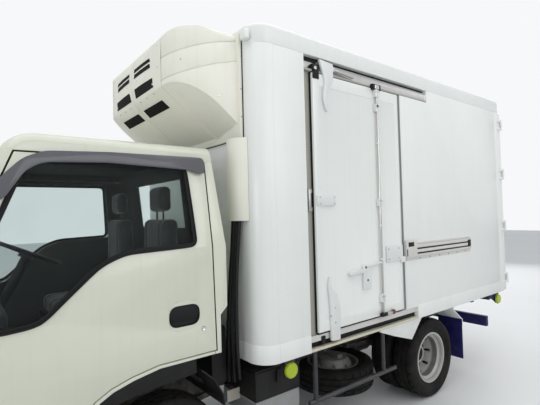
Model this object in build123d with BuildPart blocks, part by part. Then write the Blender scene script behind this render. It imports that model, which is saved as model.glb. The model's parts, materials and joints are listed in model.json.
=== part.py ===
from build123d import *
from math import cos, radians, sin
import os

# Light cab-over truck with an insulated body, a cooling unit over the cab and a sliding side door.
# X points forward, Y to the truck's left, Z up. The origin is on the ground, in the middle of the
# length and of the width. All sizes are millimetres.

# Overall layout along X
wheelbase = 2490.0
front_overhang = 1070.0
rear_overhang = 1550.0
overall_length = front_overhang + wheelbase + rear_overhang
front_end_x = overall_length / 2
rear_end_x = -overall_length / 2
cab_reach = 1425.0
cab_to_body = 196.0
front_axle_x = front_end_x - front_overhang
rear_axle_x = front_axle_x - wheelbase

# Running clearances
seat_gap = 0.3
door_gap = 8.0
running_gap = 5.0

# Wheels and tyres
tyre_radius = 345.0
tyre_width = 205.0
rim_radius = 220.5
bead_radius = 204.0
wheel_offset = 117.0
front_track = 1400.0
twin_spacing = 235.0
outer_rear_tyre_y = 780.0
axle_z = tyre_radius
front_wheel_y = front_track / 2
inner_rear_tyre_y = outer_rear_tyre_y - twin_spacing
twin_middle_y = outer_rear_tyre_y - twin_spacing / 2

# Chassis frame
rail_outer_y = 350.0
rail_height = 170.0
rail_flange = 60.0
rail_web = 6.0
rail_top_z = 630.0
rail_bottom_z = rail_top_z - rail_height
rail_front_x = front_end_x - 175.0
rail_rear_x = rear_end_x + 205.0
spring_y = rail_outer_y - rail_flange / 2

# Insulated body
body_width = 1840.0
body_bottom_z = 754.0
body_front_x = front_end_x - cab_reach - cab_to_body
body_rear_x = rear_end_x + 105.0
roof_seam_z = 2756.0
body_top_z = 2889.0
wall = 75.0
floor_thickness = 126.0
ceiling_thickness = 89.0
corner_radius = 134.0
rear_frame_depth = 90.0
rear_post = 90.0
rear_header = 116.0
half_body = body_width / 2
floor_top_z = body_bottom_z + floor_thickness
wall_front_x = body_front_x - corner_radius
rear_frame_front_x = body_rear_x + rear_frame_depth
inner_half = half_body - wall

# Side door on the left
side_door_front_x = body_front_x - 474.0
side_door_rear_x = side_door_front_x - 975.0
side_door_bottom_z = 870.0
side_door_top_z = 2640.0
side_door_proud = 5.0
jamb_front_x = side_door_front_x + 72.0
jamb_rear_x = side_door_rear_x - 45.0
track_rear_x = jamb_rear_x - 415.0
step_rail_rear_x = jamb_rear_x - 168.0
track_depth = 40.0

# Cab
cab_width = 1695.0
cab_back_x = front_end_x - cab_reach
cab_sill_z = 890.0
cab_top_z = 2085.0
belt_z = 1500.0
cab_skin = 40.0
roof_split_z = cab_top_z - 93.0
half_cab = cab_width / 2
cab_pivot_x = front_end_x - 135.0
cab_pivot_z = 600.0
cab_bottom_z = 640.0
tumblehome = 60.0

# Cab doors
door_rear_x = cab_back_x + 78.0
door_front_x = front_end_x - 155.0
door_bottom_z = 913.0
door_top_z = roof_split_z - door_gap
door_step_z = 700.0
door_hinge_x = door_front_x - 12.0
door_hinge_y = half_cab - 6.2

os.makedirs("parts", exist_ok=True)


# Chassis frame: two channels, cross members, cab hinge plates and the arch under the cab's back
cross_member_x = (
    rail_front_x - 130.0, body_front_x - 454.0, rear_axle_x + 645.0, rear_axle_x - 555.0, rail_rear_x + 40.0
)
cross_member_width = 80.0
cross_member_height = 60.0
cab_post_x = cab_back_x + 80.0
cab_post_width = 60.0
cab_post_depth = 50.0
hinge_plate = 20.0
hinge_plate_y = rail_outer_y - 40.0
hinge_plate_eye = rail_top_z - cab_pivot_z
hinge_plate_length = cab_pivot_x - rail_front_x - seat_gap
hinge_pin_radius = 15.0
rail_middle_z = (rail_top_z + rail_bottom_z) / 2
post_top_z = cab_sill_z - seat_gap
post_foot_z = rail_top_z + seat_gap
arch_bottom_z = post_top_z - cab_post_depth

with BuildPart() as frame_rails:
    for side in (1, -1):
        with BuildSketch(Plane.YZ.offset(rail_rear_x)):
            with Locations((side * (rail_outer_y - rail_flange / 2), rail_middle_z)):
                Rectangle(rail_flange, rail_height)
            with Locations((side * (rail_outer_y - rail_flange / 2 - rail_web), rail_middle_z)):
                Rectangle(rail_flange, rail_height - 2 * rail_web, mode=Mode.SUBTRACT)
        extrude(amount=rail_front_x - rail_rear_x)
        with Locations((cab_pivot_x - hinge_plate_length / 2, side * hinge_plate_y, cab_pivot_z)):
            Box(hinge_plate_length, hinge_plate, 2 * hinge_plate_eye)
        with Locations((cab_pivot_x, side * hinge_plate_y, cab_pivot_z)):
            Cylinder(hinge_plate_eye, hinge_plate, rotation=(90, 0, 0))
        with Locations((cab_post_x, side * spring_y, (post_foot_z + arch_bottom_z) / 2 - seat_gap / 2)):
            Box(cab_post_width, cab_post_depth, arch_bottom_z - post_foot_z - seat_gap)
    for x in cross_member_x:
        with Locations((x, 0, rail_top_z - rail_web - seat_gap - cross_member_height / 2)):
            Box(cross_member_width, 2 * (rail_outer_y - rail_web - seat_gap), cross_member_height)
    with Locations((cab_post_x, 0, post_top_z - cab_post_depth / 2)):
        Box(cab_post_width, 2 * spring_y + cab_post_depth, cab_post_depth)
    with Locations((cab_pivot_x, 0, cab_pivot_z)):
        Cylinder(hinge_pin_radius + seat_gap, 2 * rail_outer_y, rotation=(90, 0, 0), mode=Mode.SUBTRACT)
frame_rails.part.label = "frame_rails"
export_step(frame_rails.part, "parts/frame_rails.step")

# Bearers across the frame that carry the body, on a sill along each rail
bearer_height = 50.0
bearer_width = 50.0
bearer_count = 8
bearer_front_x = body_front_x - 174.0
bearer_rear_x = body_rear_x + 151.0
bearer_pitch = (bearer_front_x - bearer_rear_x) / (bearer_count - 1)
sill_height = body_bottom_z - rail_top_z - bearer_height - seat_gap
sill_length = bearer_front_x - bearer_rear_x + bearer_width

with BuildPart() as body_bearers:
    for side in (1, -1):
        with Locations(((bearer_front_x + bearer_rear_x) / 2, side * spring_y, rail_top_z + sill_height / 2)):
            Box(sill_length, rail_flange, sill_height)
    for i in range(bearer_count):
        with Locations((bearer_front_x - bearer_pitch * i, 0, body_bottom_z - bearer_height / 2)):
            Box(bearer_width, 2 * inner_half, bearer_height)
body_bearers.part.label = "body_bearers"
export_step(body_bearers.part, "parts/body_bearers.step")

# Leaf springs, bowed between the axles and the frame
beam_half_height = 35.0
rear_tube_radius = 55.0
spring_width = 60.0
spring_thickness = 34.0
spring_half_length = 560.0
spring_end_z = rail_bottom_z - seat_gap - spring_thickness

with BuildPart() as leaf_springs:
    seats = ((front_axle_x, axle_z + beam_half_height), (rear_axle_x, axle_z + rear_tube_radius))
    for axle_x, seat_z in seats:
        low_z = seat_z + seat_gap
        with BuildSketch(Plane.XZ.offset(-spring_y - spring_width / 2)):
            with BuildLine():
                under = ThreePointArc(
                    (axle_x - spring_half_length, spring_end_z),
                    (axle_x, low_z),
                    (axle_x + spring_half_length, spring_end_z),
                )
                over = ThreePointArc(
                    (axle_x - spring_half_length, spring_end_z + spring_thickness),
                    (axle_x, low_z + spring_thickness),
                    (axle_x + spring_half_length, spring_end_z + spring_thickness),
                )
                Line(under @ 0, over @ 0)
                Line(under @ 1, over @ 1)
            make_face()
        extrude(amount=spring_width)
    mirror(about=Plane.XZ)
leaf_springs.part.label = "leaf_springs"
export_step(leaf_springs.part, "parts/leaf_springs.step")

# Axles: the front beam with an eye at each king pin, and the rear tube with its housing and nose
king_pin_y = 620.0
king_pin_radius = 14.0
eye_radius = 35.0
eye_height = 90.0
lug_height = 34.0
beam_width = 70.0
hub_inner_y = 450.0
nose_length = 200.0
nose_radius = 60.0
housing_radius = 150.0
housing_width = 130.0

with BuildPart() as axles:
    with Locations((front_axle_x, 0, axle_z)):
        Box(beam_width, 2 * (king_pin_y - eye_radius + 10), 2 * beam_half_height)
    for side in (1, -1):
        with Locations((front_axle_x, side * king_pin_y, axle_z)):
            Cylinder(eye_radius, eye_height)
            Cylinder(king_pin_radius + seat_gap, eye_height, mode=Mode.SUBTRACT)
    with Locations((rear_axle_x, 0, axle_z)):
        Cylinder(rear_tube_radius, 2 * (hub_inner_y - seat_gap), rotation=(90, 0, 0))
        Cylinder(housing_radius, housing_width, rotation=(0, 90, 0))
    with Locations((rear_axle_x + nose_length / 2, 0, axle_z)):
        Cylinder(nose_radius, nose_length, rotation=(0, 90, 0))
axles.part.label = "axles"
export_step(axles.part, "parts/axles.step")

# Engine and gearbox as one closed mass under the cab floor
engine_rear_x = cab_post_x + 50.0
engine_front_x = engine_rear_x + 510.0
engine_bottom_z = 420.0
engine_top_z = 815.0
gearbox_rear_x = engine_rear_x - 540.0
gearbox_radius = 110.0
gearbox_z = 540.0
engine_half = rail_outer_y - rail_flange - 15.0

with BuildPart() as engine_block:
    with Locations(((engine_rear_x + engine_front_x) / 2, 0, (engine_bottom_z + engine_top_z) / 2)):
        Box(engine_front_x - engine_rear_x, 2 * engine_half, engine_top_z - engine_bottom_z)
    with Locations(((gearbox_rear_x + engine_rear_x) / 2, 0, gearbox_z)):
        Cylinder(gearbox_radius, engine_rear_x - gearbox_rear_x, rotation=(0, 90, 0))
engine_block.part.label = "engine_block"
export_step(engine_block.part, "parts/engine_block.step")

# Propeller shaft with a flange at each end
shaft_radius = 38.0
flange_radius = 55.0
flange_length = 24.0
shaft_front = Vector(gearbox_rear_x - seat_gap - flange_length / 2, 0, gearbox_z)
shaft_rear = Vector(rear_axle_x + nose_length + seat_gap + flange_length / 2, 0, axle_z)
shaft_run = shaft_rear - shaft_front

with BuildPart() as drive_shaft:
    with BuildSketch(Plane(origin=shaft_front, z_dir=shaft_run)):
        Circle(shaft_radius)
    extrude(amount=shaft_run.length)
    with Locations(shaft_front, shaft_rear):
        Cylinder(flange_radius, flange_length, rotation=(0, 90, 0))
drive_shaft.part.label = "drive_shaft"
export_step(drive_shaft.part, "parts/drive_shaft.step")

# Bumper: a pressed channel with rounded ends and two stays on the frame
bumper_bottom_z = 340.0
bumper_top_z = 535.0
bumper_return = 240.0
bumper_skin = 30.0
bumper_half = 835.0
bumper_corner = 90.0
bumper_height = bumper_top_z - bumper_bottom_z
stay_width = 40.0

with BuildPart() as front_bumper:
    with BuildSketch(Plane.XY.offset(bumper_bottom_z)):
        with Locations((front_end_x - bumper_return / 2, 0)):
            Rectangle(bumper_return, 2 * bumper_half)
    extrude(amount=bumper_height)
    fillet(front_bumper.edges().filter_by(Axis.Z).group_by(Axis.X)[-1], bumper_corner)
    with Locations((front_end_x - bumper_skin - bumper_return / 2, 0, bumper_bottom_z + bumper_height / 2)):
        Box(bumper_return, 2 * (bumper_half - bumper_skin), bumper_height, mode=Mode.SUBTRACT)
    for side in (1, -1):
        with Locations(((rail_front_x + front_end_x - bumper_skin) / 2, side * spring_y, rail_bottom_z + 30)):
            Box(front_end_x - bumper_skin - rail_front_x, stay_width, 60)
front_bumper.part.label = "front_bumper"
export_step(front_bumper.part, "parts/front_bumper.step")

# Knuckles: two lugs on the king pin, a plate, a backing disc, a spindle and a steering arm
backing_y = 688.0
backing_radius = 145.0
spindle_radius = 25.0
hub_disc = 20.0
front_hub_y = front_wheel_y + wheel_offset
hub_face_y = front_hub_y - hub_disc
arm_x = -150.0
arm_y = king_pin_y - 50.0
arm_half = 18.0
stud_radius = 10.0
arm_thickness = 22.0
arm_z = axle_z - eye_height / 2 - lug_height
knuckle_height = eye_height + 2 * lug_height + 2 * seat_gap

with BuildPart() as knuckle_left:
    for side in (1, -1):
        lug_z = axle_z + side * (eye_height / 2 + seat_gap + lug_height / 2)
        with Locations((front_axle_x, king_pin_y, lug_z)):
            Cylinder(eye_radius, lug_height)
        with Locations((front_axle_x, (king_pin_y + backing_y) / 2, lug_z)):
            Box(60, backing_y - king_pin_y, lug_height)
    with Locations((front_axle_x, king_pin_y, axle_z)):
        Cylinder(king_pin_radius, knuckle_height)
    with Locations((front_axle_x, backing_y - 8, axle_z)):
        Box(80, 16, knuckle_height)
        Cylinder(backing_radius, 6, rotation=(90, 0, 0))
    with Locations((front_axle_x, (backing_y + hub_face_y - seat_gap) / 2 - 4, axle_z)):
        Cylinder(spindle_radius, hub_face_y - seat_gap - backing_y + 8, rotation=(90, 0, 0))
    with BuildSketch(Plane.XY.offset(arm_z)):
        with BuildLine():
            Polyline(
                (front_axle_x, king_pin_y + 25),
                (front_axle_x + arm_x - arm_half, arm_y + arm_half),
                (front_axle_x + arm_x - arm_half, arm_y - arm_half),
                (front_axle_x, king_pin_y - 25),
                close=True,
            )
        make_face()
    extrude(amount=arm_thickness)
    with Locations((front_axle_x + arm_x, arm_y, arm_z)):
        Cylinder(stud_radius + seat_gap, 4 * arm_thickness, mode=Mode.SUBTRACT)
knuckle_left.part.label = "knuckle_left"
export_step(knuckle_left.part, "parts/knuckle_left.step")

with BuildPart() as knuckle_right:
    mirror(knuckle_left.part, about=Plane.XZ)
    with Locations((front_axle_x + arm_x, -arm_y, arm_z)):
        Cylinder(stud_radius + 2, arm_thickness, align=(Align.CENTER, Align.CENTER, Align.MIN))
knuckle_right.part.label = "knuckle_right"
export_step(knuckle_right.part, "parts/knuckle_right.step")

# Tie rod behind the axle, hung under the two steering arms, with a stud up through the left one
tie_rod_radius = 14.0
tie_rod_z = arm_z - seat_gap - tie_rod_radius
stud_length = arm_thickness + tie_rod_radius + 2 * seat_gap

with BuildPart() as tie_rod:
    with Locations((front_axle_x + arm_x, 0, tie_rod_z)):
        Cylinder(tie_rod_radius, 2 * arm_y, rotation=(90, 0, 0))
    with Locations((front_axle_x + arm_x, arm_y, arm_z + arm_thickness)):
        Cylinder(stud_radius, stud_length, align=(Align.CENTER, Align.CENTER, Align.MAX))
tie_rod.part.label = "tie_rod"
export_step(tie_rod.part, "parts/tie_rod.step")

# Ring of hand holes through each wheel's disc
hand_hole_count = 8
hand_hole_radius = 14.0
hand_hole_circle = 156.0
hand_hole_depth = 100.0
hand_hole_reach = wheel_offset - 42.0


def tyre_profile(wheel_y):
    """Half section of a tyre as (across, up) points, from bead to bead over the tread."""
    half = tyre_width / 2
    bead = bead_radius + seat_gap
    outline = (
        (bead, -72), (rim_radius + 1, -76.5), (280, -half), (322, -half + 5), (tyre_radius - 4, -half + 24),
        (tyre_radius, -half + 45), (tyre_radius, half - 45),
        (tyre_radius - 4, half - 24), (322, half - 5), (280, half), (rim_radius + 1, 76.5), (bead, 72),
    )
    return [(wheel_y + across, axle_z + radius) for radius, across in outline]


def rim_profile(wheel_y, face):
    """Section of the rolled barrel and dished disc of one wheel, the disc on the side of face."""
    dish = wheel_offset
    outline = (
        (rim_radius, -82), (rim_radius, -77), (bead_radius, -74), (bead_radius, -46), (180, -32), (180, 18),
        (bead_radius, 42), (bead_radius, 74), (rim_radius, 77), (rim_radius, 82), (206, 82), (197, 74),
        (197, 44), (173, 24), (150, 80), (126, dish), (40, dish), (40, dish - 10),
        (122, dish - 10), (143, 76), (166, 0), (173, -34), (197, -50), (197, -74), (206, -82),
    )
    return [(wheel_y + face * across, axle_z + radius) for radius, across in outline]


def ring_profile(y_from, y_to, radius, bore=0.0):
    """Section of a plain disc, drum or hub between two planes."""
    return [
        (y_from, axle_z + bore), (y_to, axle_z + bore), (y_to, axle_z + radius), (y_from, axle_z + radius)
    ]


def revolve_profiles(profiles, x):
    """Turn each flat profile about the axle line at x, inside the part being built."""
    for points in profiles:
        with BuildSketch(Plane.YZ.offset(x)) as section:
            with BuildLine() as outline:
                Polyline(*points, close=True)
            make_face(outline.edges())
        revolve(section.sketch, axis=Axis((x, 0, axle_z), (0, 1, 0)))


def cut_hand_holes(x, wheel_y, face):
    """Cut a ring of round holes through the sloped part of a wheel's disc, inside the part being built."""
    with Locations(Location((x, wheel_y + face * hand_hole_reach, axle_z), (90, 0, 0))):
        with PolarLocations(hand_hole_circle, hand_hole_count):
            Cylinder(hand_hole_radius, hand_hole_depth, mode=Mode.SUBTRACT)


# Front wheels: one tyre, a rim dished outwards, the drum and the hub cap
drum_radius = 135.0
drum_wall = 10.0
drum_y = backing_y + running_gap
hub_cap_radius = 55.0
hub_cap_y = front_hub_y + 28

with BuildPart() as front_tyre_left:
    revolve_profiles([tyre_profile(front_wheel_y)], front_axle_x)
front_tyre_left.part.label = "front_tyre_left"
export_step(front_tyre_left.part, "parts/front_tyre_left.step")

with BuildPart() as front_tyre_right:
    mirror(front_tyre_left.part, about=Plane.XZ)
front_tyre_right.part.label = "front_tyre_right"
export_step(front_tyre_right.part, "parts/front_tyre_right.step")

with BuildPart() as front_rim_left:
    revolve_profiles(
        (
            rim_profile(front_wheel_y, 1),
            ring_profile(drum_y, hub_face_y + 5, drum_radius, drum_radius - drum_wall),
            ring_profile(hub_face_y, hub_face_y + 5, drum_radius),
            ring_profile(hub_face_y, hub_cap_y, hub_cap_radius),
        ),
        front_axle_x,
    )
    cut_hand_holes(front_axle_x, front_wheel_y, 1)
front_rim_left.part.label = "front_rim_left"
export_step(front_rim_left.part, "parts/front_rim_left.step")

with BuildPart() as front_rim_right:
    mirror(front_rim_left.part, about=Plane.XZ)
front_rim_right.part.label = "front_rim_right"
export_step(front_rim_right.part, "parts/front_rim_right.step")

# Rear wheels: twin tyres, twin rims disc to disc, the drum and the axle hub
rear_drum_radius = 150.0
rear_hub_radius = 78.0
rear_hub_y = outer_rear_tyre_y - 42

with BuildPart() as rear_tyres_left:
    revolve_profiles((tyre_profile(outer_rear_tyre_y), tyre_profile(inner_rear_tyre_y)), rear_axle_x)
rear_tyres_left.part.label = "rear_tyres_left"
export_step(rear_tyres_left.part, "parts/rear_tyres_left.step")

with BuildPart() as rear_tyres_right:
    mirror(rear_tyres_left.part, about=Plane.XZ)
rear_tyres_right.part.label = "rear_tyres_right"
export_step(rear_tyres_right.part, "parts/rear_tyres_right.step")

with BuildPart() as rear_rims_left:
    revolve_profiles(
        (
            rim_profile(outer_rear_tyre_y, -1),
            rim_profile(inner_rear_tyre_y, 1),
            ring_profile(hub_inner_y, twin_middle_y, 110),
            ring_profile(hub_inner_y + 20, twin_middle_y - 20, rear_drum_radius - 10),
            ring_profile(twin_middle_y, rear_hub_y, rear_hub_radius),
        ),
        rear_axle_x,
    )
    cut_hand_holes(rear_axle_x, outer_rear_tyre_y, -1)
    cut_hand_holes(rear_axle_x, inner_rear_tyre_y, 1)
rear_rims_left.part.label = "rear_rims_left"
export_step(rear_rims_left.part, "parts/rear_rims_left.step")

with BuildPart() as rear_rims_right:
    mirror(rear_rims_left.part, about=Plane.XZ)
rear_rims_right.part.label = "rear_rims_right"
export_step(rear_rims_right.part, "parts/rear_rims_right.step")

# Spare wheel lying flat under the left rail, on a carrier bar with a stud
spare_x = rear_axle_x + 800.0
spare_y = 400.0
spare_z = 312.0
carrier_width = 60.0
carrier_height = 40.0
carrier_stud_radius = 18.0


def lay_flat(points):
    """A wheel profile laid on its side, as (out, up) points about the spare wheel's own axis."""
    return [(spare_y + up - axle_z, spare_z + across) for across, up in points]


with BuildPart() as spare_tyre:
    with BuildSketch(Plane.YZ.offset(spare_x)):
        with BuildLine():
            Polyline(*lay_flat(tyre_profile(0)), close=True)
        make_face()
    revolve(axis=Axis((spare_x, spare_y, 0), (0, 0, 1)))
spare_tyre.part.label = "spare_tyre"
export_step(spare_tyre.part, "parts/spare_tyre.step")

carrier_z = rail_bottom_z - seat_gap - carrier_height / 2

with BuildPart() as spare_rim:
    with BuildSketch(Plane.YZ.offset(spare_x)):
        with BuildLine():
            Polyline(*lay_flat(rim_profile(0, 1)), close=True)
        make_face()
    revolve(axis=Axis((spare_x, spare_y, 0), (0, 0, 1)))
    with Locations((spare_x, spare_y, spare_z + hand_hole_reach)):
        with PolarLocations(hand_hole_circle, hand_hole_count):
            Cylinder(hand_hole_radius, hand_hole_depth, mode=Mode.SUBTRACT)
    with Locations((spare_x, spare_y - 60, carrier_z)):
        Box(carrier_width, 300, carrier_height)
    with Locations((spare_x, spare_y, (carrier_z + spare_z + 60) / 2)):
        Cylinder(carrier_stud_radius, carrier_z - spare_z - 60)
    with Locations((spare_x, spare_y, spare_z + wheel_offset - 5)):
        Cylinder(60, 10)
spare_rim.part.label = "spare_rim"
export_step(spare_rim.part, "parts/spare_rim.step")

# Insulated body: floor, rounded front wall, two side walls, roof cap and rear frame
with BuildPart() as box_floor:
    with Locations(((rear_frame_front_x + body_front_x - wall) / 2, 0, body_bottom_z + floor_thickness / 2)):
        Box(body_front_x - wall - rear_frame_front_x, 2 * inner_half, floor_thickness)
box_floor.part.label = "box_floor"
export_step(box_floor.part, "parts/box_floor.step")

wall_height = roof_seam_z - body_bottom_z

with BuildPart() as box_front_wall:
    with BuildSketch(Plane.XY.offset(body_bottom_z)) as front_wall_plan:
        with Locations((body_front_x - corner_radius / 2, 0)):
            Rectangle(corner_radius, body_width)
        fillet(front_wall_plan.vertices().group_by(Axis.X)[-1], corner_radius - 1)
        with Locations((body_front_x - wall - corner_radius / 2, 0)):
            Rectangle(corner_radius, 2 * inner_half, mode=Mode.SUBTRACT)
    extrude(amount=wall_height)
box_front_wall.part.label = "box_front_wall"
export_step(box_front_wall.part, "parts/box_front_wall.step")

wall_length = wall_front_x - rear_frame_front_x
wall_middle_x = (wall_front_x + rear_frame_front_x) / 2
jamb_z = (side_door_bottom_z - 15, side_door_top_z + 8)
track_bottom_z = jamb_z[1]
lower_track_top_z = jamb_z[0]
step_middle_x = (jamb_front_x + step_rail_rear_x) / 2
step_length = jamb_front_x - step_rail_rear_x
load_length = body_front_x - wall - rear_frame_front_x
load_middle_x = (body_front_x - wall + rear_frame_front_x) / 2

with BuildPart() as box_left_wall:
    with Locations((wall_middle_x, half_body - wall / 2, body_bottom_z + wall_height / 2)):
        Box(wall_length, wall, wall_height)
    with Locations(((jamb_front_x + jamb_rear_x) / 2, half_body - wall / 2, sum(jamb_z) / 2)):
        Box(jamb_front_x - jamb_rear_x, 2 * wall, jamb_z[1] - jamb_z[0], mode=Mode.SUBTRACT)
    with Locations(((jamb_front_x + track_rear_x) / 2, half_body, (track_bottom_z + roof_seam_z) / 2)):
        Box(jamb_front_x - track_rear_x, 2 * track_depth, roof_seam_z - track_bottom_z, mode=Mode.SUBTRACT)
    with Locations((step_middle_x, half_body, (body_bottom_z + lower_track_top_z) / 2)):
        Box(step_length, 2 * track_depth, lower_track_top_z - body_bottom_z, mode=Mode.SUBTRACT)
box_left_wall.part.label = "box_left_wall"
export_step(box_left_wall.part, "parts/box_left_wall.step")

with BuildPart() as box_right_wall:
    with Locations((wall_middle_x, -half_body + wall / 2, body_bottom_z + wall_height / 2)):
        Box(wall_length, wall, wall_height)
box_right_wall.part.label = "box_right_wall"
export_step(box_right_wall.part, "parts/box_right_wall.step")

roof_edge_radius = 30.0
ceiling_z = body_top_z - ceiling_thickness

with BuildPart() as box_roof:
    with BuildSketch(Plane.XY.offset(roof_seam_z)) as roof_plan:
        with Locations(((body_front_x + body_rear_x) / 2, 0)):
            Rectangle(body_front_x - body_rear_x, body_width)
        fillet(roof_plan.vertices().group_by(Axis.X)[-1], corner_radius - 1)
    extrude(amount=body_top_z - roof_seam_z)
    fillet(box_roof.faces().sort_by(Axis.Z)[-1].edges(), roof_edge_radius)
    with Locations((load_middle_x, 0, (roof_seam_z + ceiling_z) / 2)):
        Box(load_length, 2 * inner_half, ceiling_z - roof_seam_z, mode=Mode.SUBTRACT)
box_roof.part.label = "box_roof"
export_step(box_roof.part, "parts/box_roof.step")


# Rear doors: a frame with hinge eyes, and two leaves that close over it
leaf_gap = 3.0
leaf_thickness = 60.0
leaf_edge_y = half_body - 5.0
leaf_bottom_z = body_bottom_z + 11.0
leaf_top_z = roof_seam_z - 11.0
leaf_middle_gap = 3.0
hinge_y = half_body + 12.0
hinge_x = body_rear_x - leaf_gap - leaf_thickness
hinge_eye_radius = 10.0
hinge_eye_height = 60.0
hinge_side_height = 30.0
strap_thickness = 6.0
strap_length = 150.0
hinge_z = (900.0, 1480.0, 2060.0, 2620.0)
rod_radius = 13.0
rod_inset = 90.0
rod_x = hinge_x - 28.0
rear_frame_height = roof_seam_z - body_bottom_z
doorway_top_z = roof_seam_z - rear_header

with BuildPart() as box_rear_frame:
    with Locations(((body_rear_x + rear_frame_front_x) / 2, 0, (body_bottom_z + roof_seam_z) / 2)):
        Box(rear_frame_depth, body_width, rear_frame_height)
    with Locations(((body_rear_x + rear_frame_front_x) / 2, 0, (floor_top_z + doorway_top_z) / 2)):
        Box(rear_frame_depth, body_width - 2 * rear_post, doorway_top_z - floor_top_z, mode=Mode.SUBTRACT)
    for side in (1, -1):
        for z in hinge_z:
            for step in (1, -1):
                eye_z = z + step * (hinge_eye_height / 2 + seat_gap + hinge_side_height / 2)
                with Locations((hinge_x, side * hinge_y, eye_z)):
                    Cylinder(hinge_eye_radius, hinge_side_height)
                with Locations(((hinge_x + body_rear_x + 20) / 2, side * (half_body + 3), eye_z)):
                    Box(body_rear_x + 20 - hinge_x, strap_thickness, hinge_side_height)
box_rear_frame.part.label = "box_rear_frame"
export_step(box_rear_frame.part, "parts/box_rear_frame.step")

leaf_width = leaf_edge_y - leaf_middle_gap
leaf_height = leaf_top_z - leaf_bottom_z
leaf_middle_z = (leaf_top_z + leaf_bottom_z) / 2

with BuildPart() as rear_door_left:
    with Locations((hinge_x + leaf_thickness / 2, leaf_middle_gap + leaf_width / 2, leaf_middle_z)):
        Box(leaf_thickness, leaf_width, leaf_height)
    for z in hinge_z:
        with Locations((hinge_x, hinge_y, z)):
            Cylinder(hinge_eye_radius, hinge_eye_height)
        with Locations((hinge_x - strap_thickness / 2, hinge_y - strap_length / 2, z)):
            Box(strap_thickness, strap_length, hinge_eye_height)
    with Locations((rod_x, rod_inset, leaf_middle_z)):
        Cylinder(rod_radius, leaf_height - 40)
    for z in (leaf_bottom_z + 60, 1150, 1500, 2100, leaf_top_z - 60):
        with Locations(((rod_x + hinge_x) / 2, rod_inset, z)):
            Box(hinge_x - rod_x, 50, 50)
    with Locations((rod_x - 7, rod_inset + 130, 1150)):
        Box(14, 280, 30)
rear_door_left.part.label = "rear_door_left"
export_step(rear_door_left.part, "parts/rear_door_left.step")

with BuildPart() as rear_door_right:
    mirror(rear_door_left.part, about=Plane.XZ)
rear_door_right.part.label = "rear_door_right"
export_step(rear_door_right.part, "parts/rear_door_right.step")

# Side door leaf, a little proud of the wall, with a shallow step round its middle panel
leaf_step = 3.0
leaf_panel_x = (side_door_rear_x + 53.0, side_door_front_x - 60.0)
leaf_panel_z = (side_door_bottom_z + 70.0, side_door_top_z - 85.0)

with BuildPart() as side_door:
    with Locations(
        (
            (side_door_front_x + side_door_rear_x) / 2,
            half_body + side_door_proud - (wall + side_door_proud) / 2,
            (side_door_bottom_z + side_door_top_z) / 2,
        )
    ):
        Box(
            side_door_front_x - side_door_rear_x,
            wall + side_door_proud,
            side_door_top_z - side_door_bottom_z,
        )
    with Locations((sum(leaf_panel_x) / 2, half_body + side_door_proud, sum(leaf_panel_z) / 2)):
        Box(
            leaf_panel_x[1] - leaf_panel_x[0], 2 * leaf_step, leaf_panel_z[1] - leaf_panel_z[0],
            mode=Mode.SUBTRACT,
        )
side_door.part.label = "side_door"
export_step(side_door.part, "parts/side_door.step")

surround_y = half_body - 28.0
surround_depth = surround_y - inner_half
track_lip = 14.0
step_lip_z = 772.0
step_slot_top_z = 812.0
step_wall = 26.0
mid_rail_z = (1281.0, 1385.0)
mid_rail_x = (side_door_rear_x - 1173.0, side_door_rear_x - 187.0)
mid_rail_depth = 14.0
mid_grooves = (1310.0, 1350.0)
mid_box_x = (side_door_rear_x - 187.0, side_door_rear_x - 33.0)
mid_box_z = (1286.0, 1429.0)
mid_box_depth = 30.0
slot_floor_y = half_body - track_depth
jamb_middle_x = (jamb_front_x + jamb_rear_x) / 2
track_middle_x = (jamb_front_x + track_rear_x) / 2
slot_middle_y = (slot_floor_y + half_body) / 2

# Surround of the side door with the upper track, the step rail below and the rail behind the door
with BuildPart() as side_door_surround:
    with Locations((jamb_middle_x, (surround_y + inner_half) / 2, sum(jamb_z) / 2)):
        Box(jamb_front_x - jamb_rear_x, surround_depth, jamb_z[1] - jamb_z[0])
    with Locations(
        (
            (side_door_front_x + side_door_rear_x) / 2,
            half_body - wall / 2,
            (side_door_bottom_z + side_door_top_z) / 2,
        )
    ):
        Box(
            side_door_front_x - side_door_rear_x + 2 * seat_gap,
            2 * wall,
            side_door_top_z - side_door_bottom_z + 2 * seat_gap,
            mode=Mode.SUBTRACT,
        )
    with Locations((track_middle_x, slot_middle_y, track_bottom_z + track_lip / 2)):
        Box(jamb_front_x - track_rear_x, track_depth, track_lip)
    with Locations((step_middle_x, slot_middle_y, (body_bottom_z + step_lip_z) / 2)):
        Box(step_length, track_depth, step_lip_z - body_bottom_z)
    with Locations((step_middle_x, slot_floor_y + step_wall / 2, (step_slot_top_z + lower_track_top_z) / 2)):
        Box(step_length, step_wall, lower_track_top_z - step_slot_top_z)
    with Locations((sum(mid_rail_x) / 2, half_body + mid_rail_depth / 2, sum(mid_rail_z) / 2)):
        Box(mid_rail_x[1] - mid_rail_x[0], mid_rail_depth, mid_rail_z[1] - mid_rail_z[0])
    for groove_z in mid_grooves:
        with Locations((sum(mid_rail_x) / 2, half_body + mid_rail_depth, groove_z)):
            Box(mid_rail_x[1] - mid_rail_x[0] - 20, mid_rail_depth, track_lip, mode=Mode.SUBTRACT)
    with Locations((sum(mid_box_x) / 2, half_body + mid_box_depth / 2, sum(mid_box_z) / 2)):
        Box(mid_box_x[1] - mid_box_x[0], mid_box_depth, mid_box_z[1] - mid_box_z[0])
side_door_surround.part.label = "side_door_surround"
export_step(side_door_surround.part, "parts/side_door_surround.step")


def side_prism(points, low_y, high_y):
    """A block with the given outline seen from the side, between two planes across the truck."""
    with BuildPart() as block:
        with BuildSketch(Plane.XZ.offset(-high_y)) as outline:
            with BuildLine() as edges:
                Polyline(*points, close=True)
            make_face(edges.edges())
        extrude(outline.sketch, amount=high_y - low_y)
    return block.part


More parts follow.
